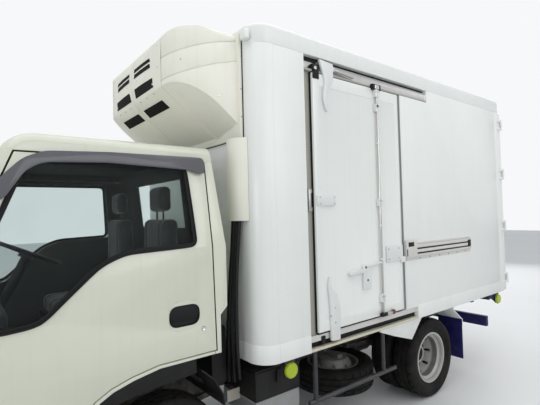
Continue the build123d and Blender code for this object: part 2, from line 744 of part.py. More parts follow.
# Door gear: lock rod with clamps, lock plate, lever and link, two curved arms, a catch and a foot latch.
# Outlines are (distance behind the door's front edge, height).
leaf_face_y = half_body + side_door_proud
gear_seat_y = leaf_face_y - leaf_step
gear_rod_radius = 11.0
gear_rod_x = side_door_front_x - 682.0
gear_rod_y = leaf_face_y + 16.0
gear_rod_z = (890.0, 2625.0)
clamp_z = (1005.0, 1745.0, 2485.0, 2600.0)
clamp_size = (58.0, 30.0, 62.0)
arm_depth = 16.0
grip_depth = 26.0
upper_arm = (
    (57, 2625), (194, 2625), (190, 2590), (130, 2545), (99, 2530), (92, 2470), (109, 2390), (121, 2384),
    (116, 2470), (120, 2515), (112, 2560), (99, 2600),
)
lower_arm = (
    (112, 1238), (101, 1238), (88, 1170), (90, 1140), (97, 1100), (103, 1010), (103, 880), (188, 880),
    (197, 1010), (169, 1110), (130, 1142), (108, 1175),
)
lock_plate = ((462, 1096), (548, 1096), (548, 1282), (462, 1282))
link_bar = ((492, 1258), (707, 1274), (707, 1292), (492, 1276))
lever = ((300, 1230), (309, 1222), (462, 1226), (470, 1254), (309, 1250))
catch_plate = ((5, 1725), (188, 1725), (188, 1799), (5, 1799))
foot_latch = ((648, 876), (796, 876), (808, 888), (796, 900), (648, 900))
hinge_box = ((757, 1271), (942, 1271), (942, 1400), (757, 1400))
# Each part: outline, depth out from the leaf, rounding of its upright corners
gear_parts = (
    (upper_arm, arm_depth), (lower_arm, arm_depth), (lock_plate, 18.0), (link_bar, 24.0), (lever, 30.0),
    (catch_plate, 12.0), (foot_latch, grip_depth), (hinge_box, 10.0),
)

with BuildPart() as side_door_gear:
    with Locations((gear_rod_x, gear_rod_y, sum(gear_rod_z) / 2)):
        Cylinder(gear_rod_radius, gear_rod_z[1] - gear_rod_z[0])
    for z in clamp_z:
        with Locations((gear_rod_x, gear_seat_y + clamp_size[1] / 2, z)):
            Box(*clamp_size)
    for outline, depth in gear_parts:
        points = [(side_door_front_x - back, z) for back, z in outline]
        add(side_prism(points, gear_seat_y, leaf_face_y + depth))
    add(side_door.part, mode=Mode.SUBTRACT)
side_door_gear.part.label = "side_door_gear"
export_step(side_door_gear.part, "parts/side_door_gear.step")

# Cooling unit on the front wall over the cab: a moulded shell with a curved nose and a sloped belly
unit_top_z = 2842.0
unit_bottom_z = 2165.0
unit_half = 745.0
unit_flange_half = 775.0
unit_flange = 25.0
unit_nose_half = 480.0
unit_reach = 441.0
unit_nose_reach = 420.0
unit_height = unit_top_z - unit_bottom_z
unit_edge = 45.0
groove_width = 9.0
# Side outline of the unit: how far out from the wall, and how high
unit_outline = (
    (0, 2165), (25, 2165), (32, 2205), (116, 2233), (286, 2368), (388, 2456), (420, 2500),
    (441, 2600), (437, 2750), (428, 2800), (406, 2830), (372, 2842), (0, 2842),
)
# Belly planes rising towards the sides: where each starts out from the middle, and its rise at the side
belly_start = 370.0
belly_rise = 80.0
belly_slope = 38.0
# Slots: left end, right end, low z, high z
unit_front_slots = (
    (50.0, 350.0, 2532.0, 2576.0),
    (50.0, 300.0, 2676.0, 2692.0),
    (50.0, 300.0, 2712.0, 2728.0),
)
unit_belly_slot = (50.0, 310.0, 2408.0, 2440.0)
slot_depth = 40.0
seam_width = 5.0
seam_depth = 4.0
# Grooves along each side: height at the wall and at the nose
side_grooves = ((2797.0, 2685.0), (2668.0, 2542.0))


def unit_form(inset):
    """The closed form of the unit, moved inwards by inset all round."""
    nose_x = body_front_x + unit_nose_reach - inset
    with BuildPart() as form:
        with BuildSketch(Plane.XY.offset(unit_bottom_z)) as plan:
            with BuildLine() as edges:
                half = unit_half - inset
                side_line = Polyline((body_front_x, half), (body_front_x + 150, half))
                bulge = (body_front_x + 335 - 0.6 * inset, half - 80 + 0.2 * inset)
                shoulder = ThreePointArc(side_line @ 1, bulge, (nose_x, unit_nose_half))
                ThreePointArc(shoulder @ 1, (body_front_x + unit_reach - inset, 0), (nose_x, -unit_nose_half))
                mirror(edges.edges(), about=Plane.XZ)
                Line((body_front_x, half), (body_front_x, -half))
            make_face(edges.edges())
        extrude(plan.sketch, amount=unit_height)
        with BuildSketch(Plane.XZ.offset(-half_body)) as profile:
            with BuildLine() as edges:
                Polyline(*[(body_front_x + out, up) for out, up in unit_outline], close=True)
            make_face(edges.edges())
            if inset:
                offset(amount=-inset, kind=Kind.INTERSECTION)
        extrude(profile.sketch, amount=body_width, mode=Mode.INTERSECT)
        with BuildSketch(Plane.YZ.offset(body_front_x)) as section:
            with Locations((0, unit_top_z - inset - unit_height)):
                Rectangle(2 * (unit_half - inset), 2 * unit_height)
            fillet(section.vertices().group_by(Axis.Y)[-1], unit_edge)
        extrude(section.sketch, amount=unit_reach, mode=Mode.INTERSECT)
        tilt = radians(belly_slope)
        belly = Plane(
            origin=(body_front_x + 116, 0, 2233 + inset), x_dir=(0, 1, 0), z_dir=(cos(tilt), 0, sin(tilt))
        )
        with BuildSketch(belly) as wedges:
            for side in (1, -1):
                with BuildLine() as edges:
                    Polyline(
                        (side * belly_start, 0), (side * (unit_half + 105), 1.28 * belly_rise),
                        (side * (unit_half + 105), -belly_rise), (side * belly_start, -belly_rise),
                        close=True,
                    )
                make_face(edges.edges())
        extrude(wedges.sketch, amount=unit_height, both=True, mode=Mode.SUBTRACT)
    return form.part


# Seams between the mouldings and grooves along the sides, both only as deep as the skin
with BuildPart() as unit_lines:
    for y in (-unit_nose_half, 0, unit_nose_half):
        with Locations((body_front_x + unit_reach, y, (unit_top_z + unit_bottom_z) / 2)):
            Box(2 * unit_reach - 4 * unit_flange, seam_width, 2 * unit_height)
    for wall_z, nose_z in side_grooves:
        near_x, far_x = body_front_x + unit_flange, body_front_x + unit_nose_reach
        groove = (
            (near_x, wall_z), (far_x, nose_z), (far_x, nose_z - groove_width), (near_x, wall_z - groove_width)
        )
        add(side_prism(groove, -half_body, half_body))
    add(unit_form(seam_depth), mode=Mode.SUBTRACT)

with BuildPart() as cooling_unit:
    add(unit_form(0))
    add(unit_lines.part, mode=Mode.SUBTRACT)
    with Locations((body_front_x + unit_flange / 2, 0, (unit_top_z + unit_bottom_z) / 2)):
        Box(unit_flange, 2 * unit_flange_half, unit_height)
    for side in (1, -1):
        for rear_y, front_y, low_z, high_z in unit_front_slots + (unit_belly_slot,):
            out = unit_reach if low_z > unit_belly_slot[3] else 345
            with Locations((body_front_x + out, side * (rear_y + front_y) / 2, (low_z + high_z) / 2)):
                Box(2 * slot_depth, front_y - rear_y, high_z - low_z, mode=Mode.SUBTRACT)
cooling_unit.part.label = "cooling_unit"
export_step(cooling_unit.part, "parts/cooling_unit.step")

# Hose cover on the front wall and the hoses that drop from it to the frame
duct_y = (600.0, 812.0)
duct_z = (1640.0, unit_bottom_z - seat_gap)
duct_depth = 70.0
duct_skin = 4.0

with BuildPart() as hose_duct:
    with BuildSketch(Plane.XY.offset(duct_z[0])):
        with BuildLine():
            ThreePointArc(
                (body_front_x, duct_y[0]),
                (body_front_x + duct_depth, sum(duct_y) / 2),
                (body_front_x, duct_y[1]),
            )
            Line((body_front_x, duct_y[1]), (body_front_x, duct_y[1] - duct_skin))
            ThreePointArc(
                (body_front_x, duct_y[0] + duct_skin),
                (body_front_x + duct_depth - duct_skin, sum(duct_y) / 2),
                (body_front_x, duct_y[1] - duct_skin),
            )
            Line((body_front_x, duct_y[0]), (body_front_x, duct_y[0] + duct_skin))
        make_face()
    extrude(amount=duct_z[1] - duct_z[0])
hose_duct.part.label = "hose_duct"
export_step(hose_duct.part, "parts/hose_duct.step")

# Each hose: diameter and its route down the wall, then on to the frame, as distances from the wall
hose_routes = (
    (
        34.0, (672, 2120),
        ((0, 675, 1830), (8, 666, 1540), (26, 648, 1250), (42, 640, 970), (36, 614, 750), (0, 560, 585)),
    ),
    (
        30.0, (712, 2120),
        ((0, 715, 1830), (18, 706, 1540), (44, 700, 1250), (66, 710, 980), (52, 694, 770), (10, 640, 605)),
    ),
    (
        26.0, (748, 2120),
        ((0, 751, 1840), (24, 742, 1560), (52, 746, 1280), (68, 764, 1000), (56, 748, 790), (16, 706, 640)),
    ),
)

with BuildPart() as cooling_hoses:
    for bore, start, route in hose_routes:
        wall_x = body_front_x + bore / 2 + seat_gap
        corners = [Vector(wall_x, *start)] + [Vector(wall_x + out, y, z) for out, y, z in route]
        runs = [b - a for a, b in zip(corners, corners[1:])]
        radii = []
        for before, after in zip(runs, runs[1:]):
            half_turn = radians(before.get_angle(after)) / 2
            radii.append(0.45 * min(before.length, after.length) / (sin(half_turn) / cos(half_turn)))
        print("hose", bore, "radii", [round(r) for r in radii])
        with BuildLine() as path:
            FilletPolyline(*corners, radius=radii)
        with BuildSketch(Plane(origin=corners[0], z_dir=runs[0])):
            Circle(bore / 2)
        sweep(path=path.wires()[0])
cooling_hoses.part.label = "cooling_hoses"
export_step(cooling_hoses.part, "parts/cooling_hoses.step")


# Side guard tubes with posts seated on them, the rear underrun bar and the lamp brackets
guard_radius = 17.0
guard_y = half_body - 68.0
guard_z = 390.0
guard_x = (rear_axle_x + 535.0, body_front_x - 434.0)
guard_post_x = (rear_axle_x + 690.0, body_front_x - 494.0)
underrun_depth = 50.0
underrun_x = rail_rear_x - underrun_depth
underrun_half = half_body - 167.0
underrun_z = (341.0, 453.0)
lamp_z = 680.0
lamp_y = 640.0
lamp_width = 260.0
lamp_height = 90.0
bracket_depth = 12.0
marker_radius = 50.0
marker_depth = 26.0
marker_y = half_body - 54.0
marker_x = (body_front_x - 259.0, body_rear_x + 66.0)
marker_z = 666.0
lamp_bracket_x = body_rear_x + 50

with BuildPart() as guard_bars:
    for side in (1, -1):
        for x in guard_post_x:
            with Locations((x, side * guard_y, (guard_z + body_bottom_z) / 2)):
                Cylinder(guard_radius, body_bottom_z - guard_z)
        with Locations((sum(guard_x) / 2, side * guard_y, guard_z)):
            Cylinder(
                guard_radius + seat_gap, guard_x[1] - guard_x[0] + 10, rotation=(0, 90, 0), mode=Mode.SUBTRACT
            )
            Cylinder(guard_radius, guard_x[1] - guard_x[0], rotation=(0, 90, 0))
        bracket_foot_z = underrun_z[1] + seat_gap
        bracket_top_z = rail_top_z - 20
        with Locations(
            (underrun_x + underrun_depth / 2, side * spring_y, (bracket_foot_z + bracket_top_z) / 2)
        ):
            Box(underrun_depth, rail_flange, bracket_top_z - bracket_foot_z)
    with Locations((underrun_x + underrun_depth / 2, 0, sum(underrun_z) / 2)):
        Box(underrun_depth, 2 * underrun_half, underrun_z[1] - underrun_z[0])
    for side in (1, -1):
        with Locations((lamp_bracket_x, side * lamp_y, (body_bottom_z + lamp_z - lamp_height / 2) / 2)):
            Box(bracket_depth, lamp_width, body_bottom_z - lamp_z + lamp_height / 2)
        for x in marker_x:
            with Locations((x, side * (marker_y - bracket_depth / 2), (body_bottom_z + marker_z - 40) / 2)):
                Box(80, bracket_depth, body_bottom_z - marker_z + 40)
guard_bars.part.label = "guard_bars"
export_step(guard_bars.part, "parts/guard_bars.step")

# Rear lamps and round side markers on their brackets
lamp_depth = 45.0

with BuildPart() as rear_lamps:
    for side in (1, -1):
        with Locations((lamp_bracket_x - (bracket_depth + lamp_depth) / 2, side * lamp_y, lamp_z)):
            Box(lamp_depth, lamp_width, lamp_height)
rear_lamps.part.label = "rear_lamps"
export_step(rear_lamps.part, "parts/rear_lamps.step")

with BuildPart() as marker_lamps:
    for x in marker_x:
        with Locations((x, marker_y + marker_depth / 2, marker_z)):
            Cylinder(marker_radius, marker_depth, rotation=(90, 0, 0))
    fillet(marker_lamps.faces().group_by(Axis.Y)[-1].edges(), marker_depth * 0.6)
    mirror(about=Plane.XZ)
marker_lamps.part.label = "marker_lamps"
export_step(marker_lamps.part, "parts/marker_lamps.step")

# Battery box on the left rail: a tray with a deep cover
battery_x = (body_front_x - 436.0, body_front_x - 62.0)
battery_outer_y = 750.0
battery_z = (350.0, 470.0, 670.0)
battery_middle_x = sum(battery_x) / 2
battery_middle_y = (rail_outer_y + battery_outer_y) / 2
battery_length = battery_x[1] - battery_x[0]

cover_overhang = 4.0

with BuildPart() as battery_box:
    with Locations((battery_middle_x, battery_middle_y, (battery_z[0] + battery_z[1]) / 2)):
        Box(battery_length, battery_outer_y - rail_outer_y, battery_z[1] - battery_z[0])
    with Locations(
        (battery_middle_x, battery_middle_y + cover_overhang / 2, (battery_z[1] + battery_z[2]) / 2)
    ):
        Box(
            battery_length + 2 * cover_overhang,
            battery_outer_y - rail_outer_y + cover_overhang,
            battery_z[2] - battery_z[1],
        )
battery_box.part.label = "battery_box"
export_step(battery_box.part, "parts/battery_box.step")

# Fuel tank and silencer on the right rail, each with brackets that touch the rail
tank_x = (body_front_x - 1274.0, body_front_x - 634.0)
tank_y = (-750.0, -390.0)
tank_z = (330.0, 640.0)
tank_edge = 50.0

with BuildPart() as fuel_tank:
    with Locations((sum(tank_x) / 2, sum(tank_y) / 2, sum(tank_z) / 2)):
        Box(tank_x[1] - tank_x[0], tank_y[1] - tank_y[0], tank_z[1] - tank_z[0])
    fillet(fuel_tank.edges().filter_by(Axis.X), tank_edge)
    for x in (tank_x[0] + 120, tank_x[1] - 120):
        with Locations((x, (tank_y[1] - rail_outer_y) / 2 - 5, rail_middle_z)):
            Box(60, -tank_y[1] - rail_outer_y + 10, 120)
fuel_tank.part.label = "fuel_tank"
export_step(fuel_tank.part, "parts/fuel_tank.step")

silencer_x = (body_front_x - 414.0, body_front_x + 46.0)
silencer_y = -560.0
silencer_radius = 110.0
tail_pipe_radius = 28.0
tail_pipe_length = 240.0

with BuildPart() as silencer:
    with Locations((sum(silencer_x) / 2, silencer_y, rail_middle_z - 30)):
        Cylinder(silencer_radius, silencer_x[1] - silencer_x[0], rotation=(0, 90, 0))
    for x in (silencer_x[0] + 90, silencer_x[1] - 90):
        with Locations((x, (silencer_y - rail_outer_y) / 2, rail_middle_z)):
            Box(50, -silencer_y - rail_outer_y, 60)
    with Locations((silencer_x[0] - 40, silencer_y, rail_middle_z - 30)):
        Cylinder(tail_pipe_radius, 120, rotation=(0, 90, 0))
    tail_pipe_y = silencer_y - tail_pipe_length / 2 + tail_pipe_radius
    with Locations((silencer_x[0] - 85, tail_pipe_y, rail_middle_z - 30)):
        Cylinder(tail_pipe_radius, tail_pipe_length, rotation=(90, 0, 0))
silencer.part.label = "silencer"
export_step(silencer.part, "parts/silencer.step")

# Air cleaner behind the cab, on a bracket from the left rail
cleaner_size = (104.0, 240.0, 370.0)
cleaner_x = cab_back_x - 58.0
cleaner_y = rail_outer_y + 170.0
cleaner_z = rail_top_z + 165.0
cleaner_bracket = 30.0

with BuildPart() as air_cleaner:
    with Locations((cleaner_x, cleaner_y, cleaner_z)):
        Box(*cleaner_size)
    fillet(air_cleaner.edges().filter_by(Axis.Y), cleaner_bracket)
    with Locations((cleaner_x, (rail_outer_y + cleaner_y) / 2, rail_top_z - cleaner_bracket / 2)):
        Box(2 * cleaner_bracket, cleaner_y - rail_outer_y, cleaner_bracket)
air_cleaner.part.label = "air_cleaner"
export_step(air_cleaner.part, "parts/air_cleaner.step")

# Wing plates ahead of the rear wheels
wing_y = (half_body - 50.0, half_body - 30.0)
wing_x = (rear_axle_x + 173.0, rear_axle_x + 336.0, rear_axle_x + 577.0, rear_axle_x + 760.0)
wing_plate = (
    (wing_x[0], body_bottom_z), (wing_x[0], 741), (wing_x[1], 582), (wing_x[2], 658),
    (wing_x[3], 725), (wing_x[3], body_bottom_z),
)

with BuildPart() as rear_wings:
    add(side_prism(wing_plate, *wing_y))
    mirror(about=Plane.XZ)
rear_wings.part.label = "rear_wings"
export_step(rear_wings.part, "parts/rear_wings.step")

# Mudguards: a sheet and flap behind each rear pair, and a sheet on a bar behind each front wheel
flap_y = (half_body - 280.0, half_body - 30.0)
flap_x = rear_axle_x - 532.0
flap_thickness = 8.0
flap_z = (212.0, 600.0)
rear_sheet = (
    (flap_x + 219, body_bottom_z), (flap_x + 207, body_bottom_z), (flap_x - flap_thickness, 596),
    (flap_x - flap_thickness, 540), (flap_x, 540), (flap_x, 592),
)
# Front sheet outline: how far ahead of the cab's back, and how high
front_sheet = ((165, 818), (85, 745), (30, 650), (16, 575), (24, 575), (38, 647), (92, 740), (170, 811))
front_sheet_y = (600.0, 836.0)

with BuildPart() as mudguards:
    add(side_prism(rear_sheet, *flap_y))
    with Locations((flap_x + flap_thickness / 2, sum(flap_y) / 2, sum(flap_z) / 2 - 6)):
        Box(flap_thickness, flap_y[1] - flap_y[0], flap_z[1] - flap_z[0] - 12)
    add(side_prism([(cab_back_x + ahead, z) for ahead, z in front_sheet], *front_sheet_y))
    with Locations((cab_back_x + 23, (rail_outer_y + front_sheet_y[0] + 10) / 2, 600)):
        Box(12, front_sheet_y[0] + 10 - rail_outer_y, 40)
    mirror(about=Plane.XZ)
mudguards.part.label = "mudguards"
export_step(mudguards.part, "parts/mudguards.step")


def behind_front(points):
    """Side outlines given as (distance behind the truck's front end, height), as frame points."""
    return tuple((front_end_x - back, z) for back, z in points)


# Cab side outline, clockwise from the lower rear corner
screen_foot = (40.0, 1270.0)
screen_head = 357.0
back_bend_z = 1490.0
arch_line = ((1011, cab_sill_z), (873, 865), (774, 836), (713, 803), (625, 700), (583, cab_bottom_z))
cab_outline = behind_front(
    (
        (1380, cab_sill_z), (1380, 1105), (cab_reach, 1150), (cab_reach, back_bend_z), (1363, cab_top_z),
        (screen_head, cab_top_z), screen_foot, (23, 1000), (27, cab_bottom_z),
    )
    + arch_line[::-1]
)
windscreen_curve = 170.0
tumble_rise = 500.0
cab_corner = 60.0
side_reach = half_cab + 100.0


def cab_form(inset):
    """The closed cab form, moved inwards by inset all round."""
    half = half_cab - inset
    with BuildPart() as form:
        with BuildSketch(Plane.XZ) as profile:
            with BuildLine() as edges:
                Polyline(*cab_outline, close=True)
            make_face(edges.edges())
            fillet(profile.vertices().sort_by(Axis.Y)[-2:].sort_by(Axis.X)[-1], windscreen_curve)
            if inset:
                offset(amount=-inset, kind=Kind.INTERSECTION)
        extrude(profile.sketch, amount=half, both=True)
        with BuildSketch(Plane.YZ) as wedges:
            for side in (1, -1):
                with BuildLine() as edges:
                    Polyline(
                        (side * half, belt_z),
                        (side * (half - 2 * tumblehome), belt_z + 2 * tumble_rise),
                        (side * (half + 50), belt_z + 2 * tumble_rise),
                        close=True,
                    )
                make_face(edges.edges())
        extrude(wedges.sketch, amount=2 * front_end_x, mode=Mode.SUBTRACT)
        if not inset:
            front_corners = form.edges().filter_by(
                lambda edge: edge.center().X > front_end_x - screen_head - 28
                and abs(edge.center().Y) > half - 2 * tumblehome + 10
                and abs(edge.tangent_at(0.5).Y) < 0.5
                and abs(edge.tangent_at(0.5).X) < 0.99
                and edge.center().Z > cab_bottom_z + 1
            )
            fillet(front_corners, cab_corner)
    return form.part


cab_outer = cab_form(0)
cab_inner = cab_form(cab_skin)

# The door seen from the side: it follows the wheel arch and comes down over the step
door_outline = ((door_rear_x, door_bottom_z), (door_rear_x + 28, door_top_z)) + behind_front(
    (
        (381, door_top_z), (155, belt_z - 80), (155, door_step_z), (589, door_step_z), (687, 818),
        (763, 859), (865, 889), (1005, door_bottom_z),
    )
)
door_inner_y = half_cab - cab_skin
door_hinge_z = (980.0, 1330.0)
door_pin_radius = 5.0
door_pin_length = 90.0
hinge_arm = 30.0
hinge_slot = hinge_arm + 2 * running_gap
hinge_arm_y = 22.0

with BuildPart() as door_cavity:
    with BuildSketch(Plane.XZ.offset(-side_reach)):
        with BuildLine():
            Polyline(*door_outline, close=True)
        make_face()
        offset(amount=door_gap, kind=Kind.INTERSECTION)
    extrude(amount=2 * side_reach)
    with BuildSketch(Plane.YZ) as cavity_core:
        for side in (1, -1):
            with BuildLine():
                core_y = side * (door_inner_y - running_gap)
                Polyline(
                    (0, 0), (core_y, 0), (core_y, belt_z),
                    (core_y - side * 2 * tumblehome, belt_z + 2 * tumble_rise),
                    (0, belt_z + 2 * tumble_rise), close=True,
                )
            make_face()
    extrude(amount=2 * front_end_x, mode=Mode.SUBTRACT)

# Cab pieces cut from the shell between the outer and inner forms
seam_x = door_front_x + door_gap
pillar_x = door_rear_x - 6.0
beyond_z = cab_top_z + 115.0
beyond_x = front_end_x + 145.0
behind_x = cab_back_x - 130.0
roof_region = ((behind_x, roof_split_z), (behind_x, beyond_z), (beyond_x, beyond_z), (beyond_x, roof_split_z))
back_region = (
    (behind_x, 800), (behind_x, roof_split_z), (pillar_x + 30, roof_split_z),
    (pillar_x + 14, 1400), (pillar_x + 14, 931), (pillar_x, 800),
)
front_region = (
    (seam_x, 500), (seam_x, belt_z - 79), (front_end_x - 375, roof_split_z),
    (beyond_x, roof_split_z), (beyond_x, 500),
)
floor_region = (
    (pillar_x, 800), (pillar_x + 14, 931), (pillar_x + 14, 1100), (seam_x, 1100),
    (seam_x, 500), (pillar_x, 500),
)
rear_window_half = 430.0
rear_window_z = (cab_top_z - 485.0, cab_top_z - 155.0)
screen_half = 700.0
screen_z = (screen_foot[1] + 30.0, cab_top_z - 130.0)
screen_depth = 12.0
pane = 6.0
screen_slope = (screen_head - screen_foot[0]) / (cab_top_z - screen_foot[1])
back_slope = (cab_reach - 1363) / (cab_top_z - back_bend_z)

with BuildPart() as cab_roof:
    add(cab_outer)
    add(cab_inner, mode=Mode.SUBTRACT)
    add(door_cavity.part, mode=Mode.SUBTRACT)
    add(side_prism(roof_region, -side_reach, side_reach), mode=Mode.INTERSECT)
cab_roof.part.label = "cab_roof"
export_step(cab_roof.part, "parts/cab_roof.step")

with BuildPart() as cab_back_panel:
    add(cab_outer)
    add(cab_inner, mode=Mode.SUBTRACT)
    add(door_cavity.part, mode=Mode.SUBTRACT)
    add(side_prism(back_region, -side_reach, side_reach), mode=Mode.INTERSECT)
    with Locations((cab_back_x, 0, sum(rear_window_z) / 2)):
        Box(300, 2 * rear_window_half, rear_window_z[1] - rear_window_z[0], mode=Mode.SUBTRACT)
cab_back_panel.part.label = "cab_back_panel"
export_step(cab_back_panel.part, "parts/cab_back_panel.step")

with BuildPart() as cab_floor:
    add(cab_outer)
    add(cab_inner, mode=Mode.SUBTRACT)
    add(door_cavity.part, mode=Mode.SUBTRACT)
    add(side_prism(floor_region, -side_reach, side_reach), mode=Mode.INTERSECT)
cab_floor.part.label = "cab_floor"
export_step(cab_floor.part, "parts/cab_floor.step")

# Front panel with the screen opening, grille slots, lamp recesses and the tilt hinge lugs
grille_half = 480.0
grille_z = (940.0, 985.0, 1030.0, 1075.0)
grille_depth = 200.0
grille_slot = 24.0
headlamp_y = (560.0, 800.0)
headlamp_z = (700.0, 880.0)
headlamp_depth = 70.0
lug_y = (322.0, 342.0)
lug_radius = 24.0

with BuildPart() as cab_front_panel:
    add(cab_outer)
    add(cab_inner, mode=Mode.SUBTRACT)
    add(door_cavity.part, mode=Mode.SUBTRACT)
    add(side_prism(front_region, -side_reach, side_reach), mode=Mode.INTERSECT)
    with Locations((front_end_x - 105, 0, sum(screen_z) / 2)):
        Box(2 * screen_head, 2 * screen_half, screen_z[1] - screen_z[0], mode=Mode.SUBTRACT)
    for z in grille_z:
        with Locations((front_end_x, 0, z)):
            Box(grille_depth, 2 * grille_half, grille_slot, mode=Mode.SUBTRACT)
    for side in (1, -1):
        with Locations((front_end_x, side * sum(headlamp_y) / 2, sum(headlamp_z) / 2)):
            Box(
                2 * headlamp_depth,
                headlamp_y[1] - headlamp_y[0],
                headlamp_z[1] - headlamp_z[0],
                mode=Mode.SUBTRACT,
            )
        with Locations((cab_pivot_x, side * sum(lug_y) / 2, cab_pivot_z)):
            Cylinder(lug_radius, lug_y[1] - lug_y[0], rotation=(90, 0, 0))
        with Locations((cab_pivot_x, side * sum(lug_y) / 2, (cab_pivot_z + cab_bottom_z) / 2)):
            Box(2 * lug_radius, lug_y[1] - lug_y[0], cab_bottom_z - cab_pivot_z)
        with Locations((cab_pivot_x, side * (hinge_plate_y + lug_y[0]) / 2 - side * 3, cab_pivot_z)):
            Cylinder(hinge_pin_radius, lug_y[0] - hinge_plate_y + 16, rotation=(90, 0, 0))
        for z in door_hinge_z:
            with Locations((door_hinge_x, side * door_hinge_y, z)):
                Cylinder(door_pin_radius, door_pin_length)
            with Locations(
                ((door_hinge_x + door_front_x) / 2 + door_gap, side * (half_cab - hinge_arm_y / 2), z)
            ):
                Box(door_front_x - door_hinge_x + 3 * door_gap, hinge_arm_y, hinge_arm)
cab_front_panel.part.label = "cab_front_panel"
export_step(cab_front_panel.part, "parts/cab_front_panel.step")

with BuildPart() as headlamps:
    add(cab_outer)
    with Locations(*[(front_end_x, side * sum(headlamp_y) / 2, sum(headlamp_z) / 2) for side in (1, -1)]):
        Box(
            2 * headlamp_depth,
            headlamp_y[1] - headlamp_y[0],
            headlamp_z[1] - headlamp_z[0],
            mode=Mode.INTERSECT,
        )
headlamps.part.label = "headlamps"
export_step(headlamps.part, "parts/headlamps.step")


def sloped_pane(base, slope, heights, inset, half):
    """A flat pane between two heights, inset behind a sloped outer line, and as wide as half each way."""
    low, high = heights[0] + seat_gap, heights[1] - seat_gap
    step = (1 + slope * slope) ** 0.5
    outline = [
        (base[0] + slope * (z - base[1]) + depth * step, z)
        for z, depth in ((low, inset), (high, inset), (high, inset + pane), (low, inset + pane))
    ]
    return side_prism(outline, -half + seat_gap, half - seat_gap)


with BuildPart() as cab_glass:
    screen_base = (front_end_x - screen_foot[0] - 2 * (screen_depth + pane), screen_foot[1])
    add(sloped_pane(screen_base, -screen_slope, screen_z, screen_depth, screen_half))
    add(sloped_pane((cab_back_x, back_bend_z), back_slope, rear_window_z, screen_depth, rear_window_half))
cab_glass.part.label = "cab_glass"
export_step(cab_glass.part, "parts/cab_glass.step")

# Doors: the side wall of the cab inside the door outline, with the window cut out
window_top_z = door_top_z - 26.0
window_outline = behind_front(
    (
        (1204, window_top_z), (1240, 1510), (845, 1497), (725, 1449), (571, 1310), (470, 1215),
        (323, 1202), (210, 1210), (210, 1440), (405, window_top_z - 38), (469, window_top_z),
    )
)
window_corner = 30.0
handle_x = (door_rear_x + 101.0, door_rear_x + 284.0)
handle_z = (1059.0, 1218.0)
handle_depth = 24.0
handle_middle = ((handle_x[0] + handle_x[1]) / 2, (handle_z[0] + handle_z[1]) / 2)


def side_wall(out_from, out_to):
    """A band along the cab's left side between two distances from its outer face, upright then leaning in."""
    top = 2 * tumble_rise
    lean = 2 * tumblehome
    with BuildPart() as band:
        with BuildSketch(Plane.YZ) as section:
            with BuildLine() as edges:
                Polyline(
                    (half_cab + out_from, 500), (half_cab + out_to, 500), (half_cab + out_to, belt_z),
                    (half_cab + out_to - lean, belt_z + top), (half_cab + out_from - lean, belt_z + top),
                    (half_cab + out_from, belt_z), close=True,
                )
            make_face(edges.edges())
        extrude(section.sketch, amount=2 * front_end_x)
    return band.part


def window_prism(grow):
    """The side window opening as a block, grown or shrunk all round."""
    with BuildPart() as block:
        with BuildSketch(Plane.XZ.offset(-side_reach)) as outline:
            with BuildLine() as edges:
                Polyline(*window_outline, close=True)
            make_face(edges.edges())
            fillet(outline.vertices(), window_corner)
            if grow:
                offset(amount=grow)
        extrude(outline.sketch, amount=2 * side_reach)
    return block.part


with BuildPart() as door_left:
    add(side_wall(-cab_skin, 0))
    add(side_prism(door_outline, 0, side_reach), mode=Mode.INTERSECT)
    add(window_prism(0), mode=Mode.SUBTRACT)
    with BuildSketch(Plane.XZ.offset(-half_cab)):
        with Locations(handle_middle):
            RectangleRounded(handle_x[1] - handle_x[0], handle_z[1] - handle_z[0], 60)
    extrude(amount=handle_depth, mode=Mode.SUBTRACT)
    with Locations((handle_middle[0], half_cab - 10, handle_middle[1] + 20)):
        Box(handle_x[1] - handle_x[0], 12, 34)
    for z in door_hinge_z:
        with Locations((door_hinge_x, door_hinge_y, z)):
            Cylinder(door_pin_radius + seat_gap, door_pin_length + 2 * seat_gap, mode=Mode.SUBTRACT)
            Box(hinge_slot, 4 * cab_skin, hinge_slot, mode=Mode.SUBTRACT)
door_left.part.label = "door_left"
export_step(door_left.part, "parts/door_left.step")

with BuildPart() as door_right:
    mirror(door_left.part, about=Plane.XZ)
door_right.part.label = "door_right"
export_step(door_right.part, "parts/door_right.step")

# Side glazing: the pane behind the door's outer face, and the rain visor stood off it on a rib
pane_depth = 14.0
visor_outline = behind_front(
    (
        (1304, window_top_z + 56), (779, window_top_z + 50), (495, window_top_z + 36),
        (409, window_top_z - 3), (328, window_top_z - 97), (325, window_top_z - 162),
        (421, window_top_z - 40), (489, window_top_z - 9), (767, window_top_z + 5),
        (1198, window_top_z - 5),
    )
)
visor_rib = behind_front(
    ((1255, window_top_z + 4), (1255, window_top_z + 18), (515, window_top_z + 18), (515, window_top_z + 4))
)
visor_out = (24.0, 28.0)

with BuildPart() as door_glass_left:
    add(side_wall(-pane_depth - pane, -pane_depth))
    add(window_prism(-seat_gap), mode=Mode.INTERSECT)
    with BuildPart(mode=Mode.PRIVATE) as visor:
        add(side_wall(*visor_out))
        add(side_prism(visor_outline, 0, 2 * side_reach), mode=Mode.INTERSECT)
    with BuildPart(mode=Mode.PRIVATE) as rib:
        add(side_wall(0, visor_out[0] + 1))
        add(side_prism(visor_rib, 0, 2 * side_reach), mode=Mode.INTERSECT)
    add(visor.part)
    add(rib.part)
door_glass_left.part.label = "door_glass_left"
export_step(door_glass_left.part, "parts/door_glass_left.step")

with BuildPart() as door_glass_right:
    mirror(door_glass_left.part, about=Plane.XZ)
door_glass_right.part.label = "door_glass_right"
export_step(door_glass_right.part, "parts/door_glass_right.step")

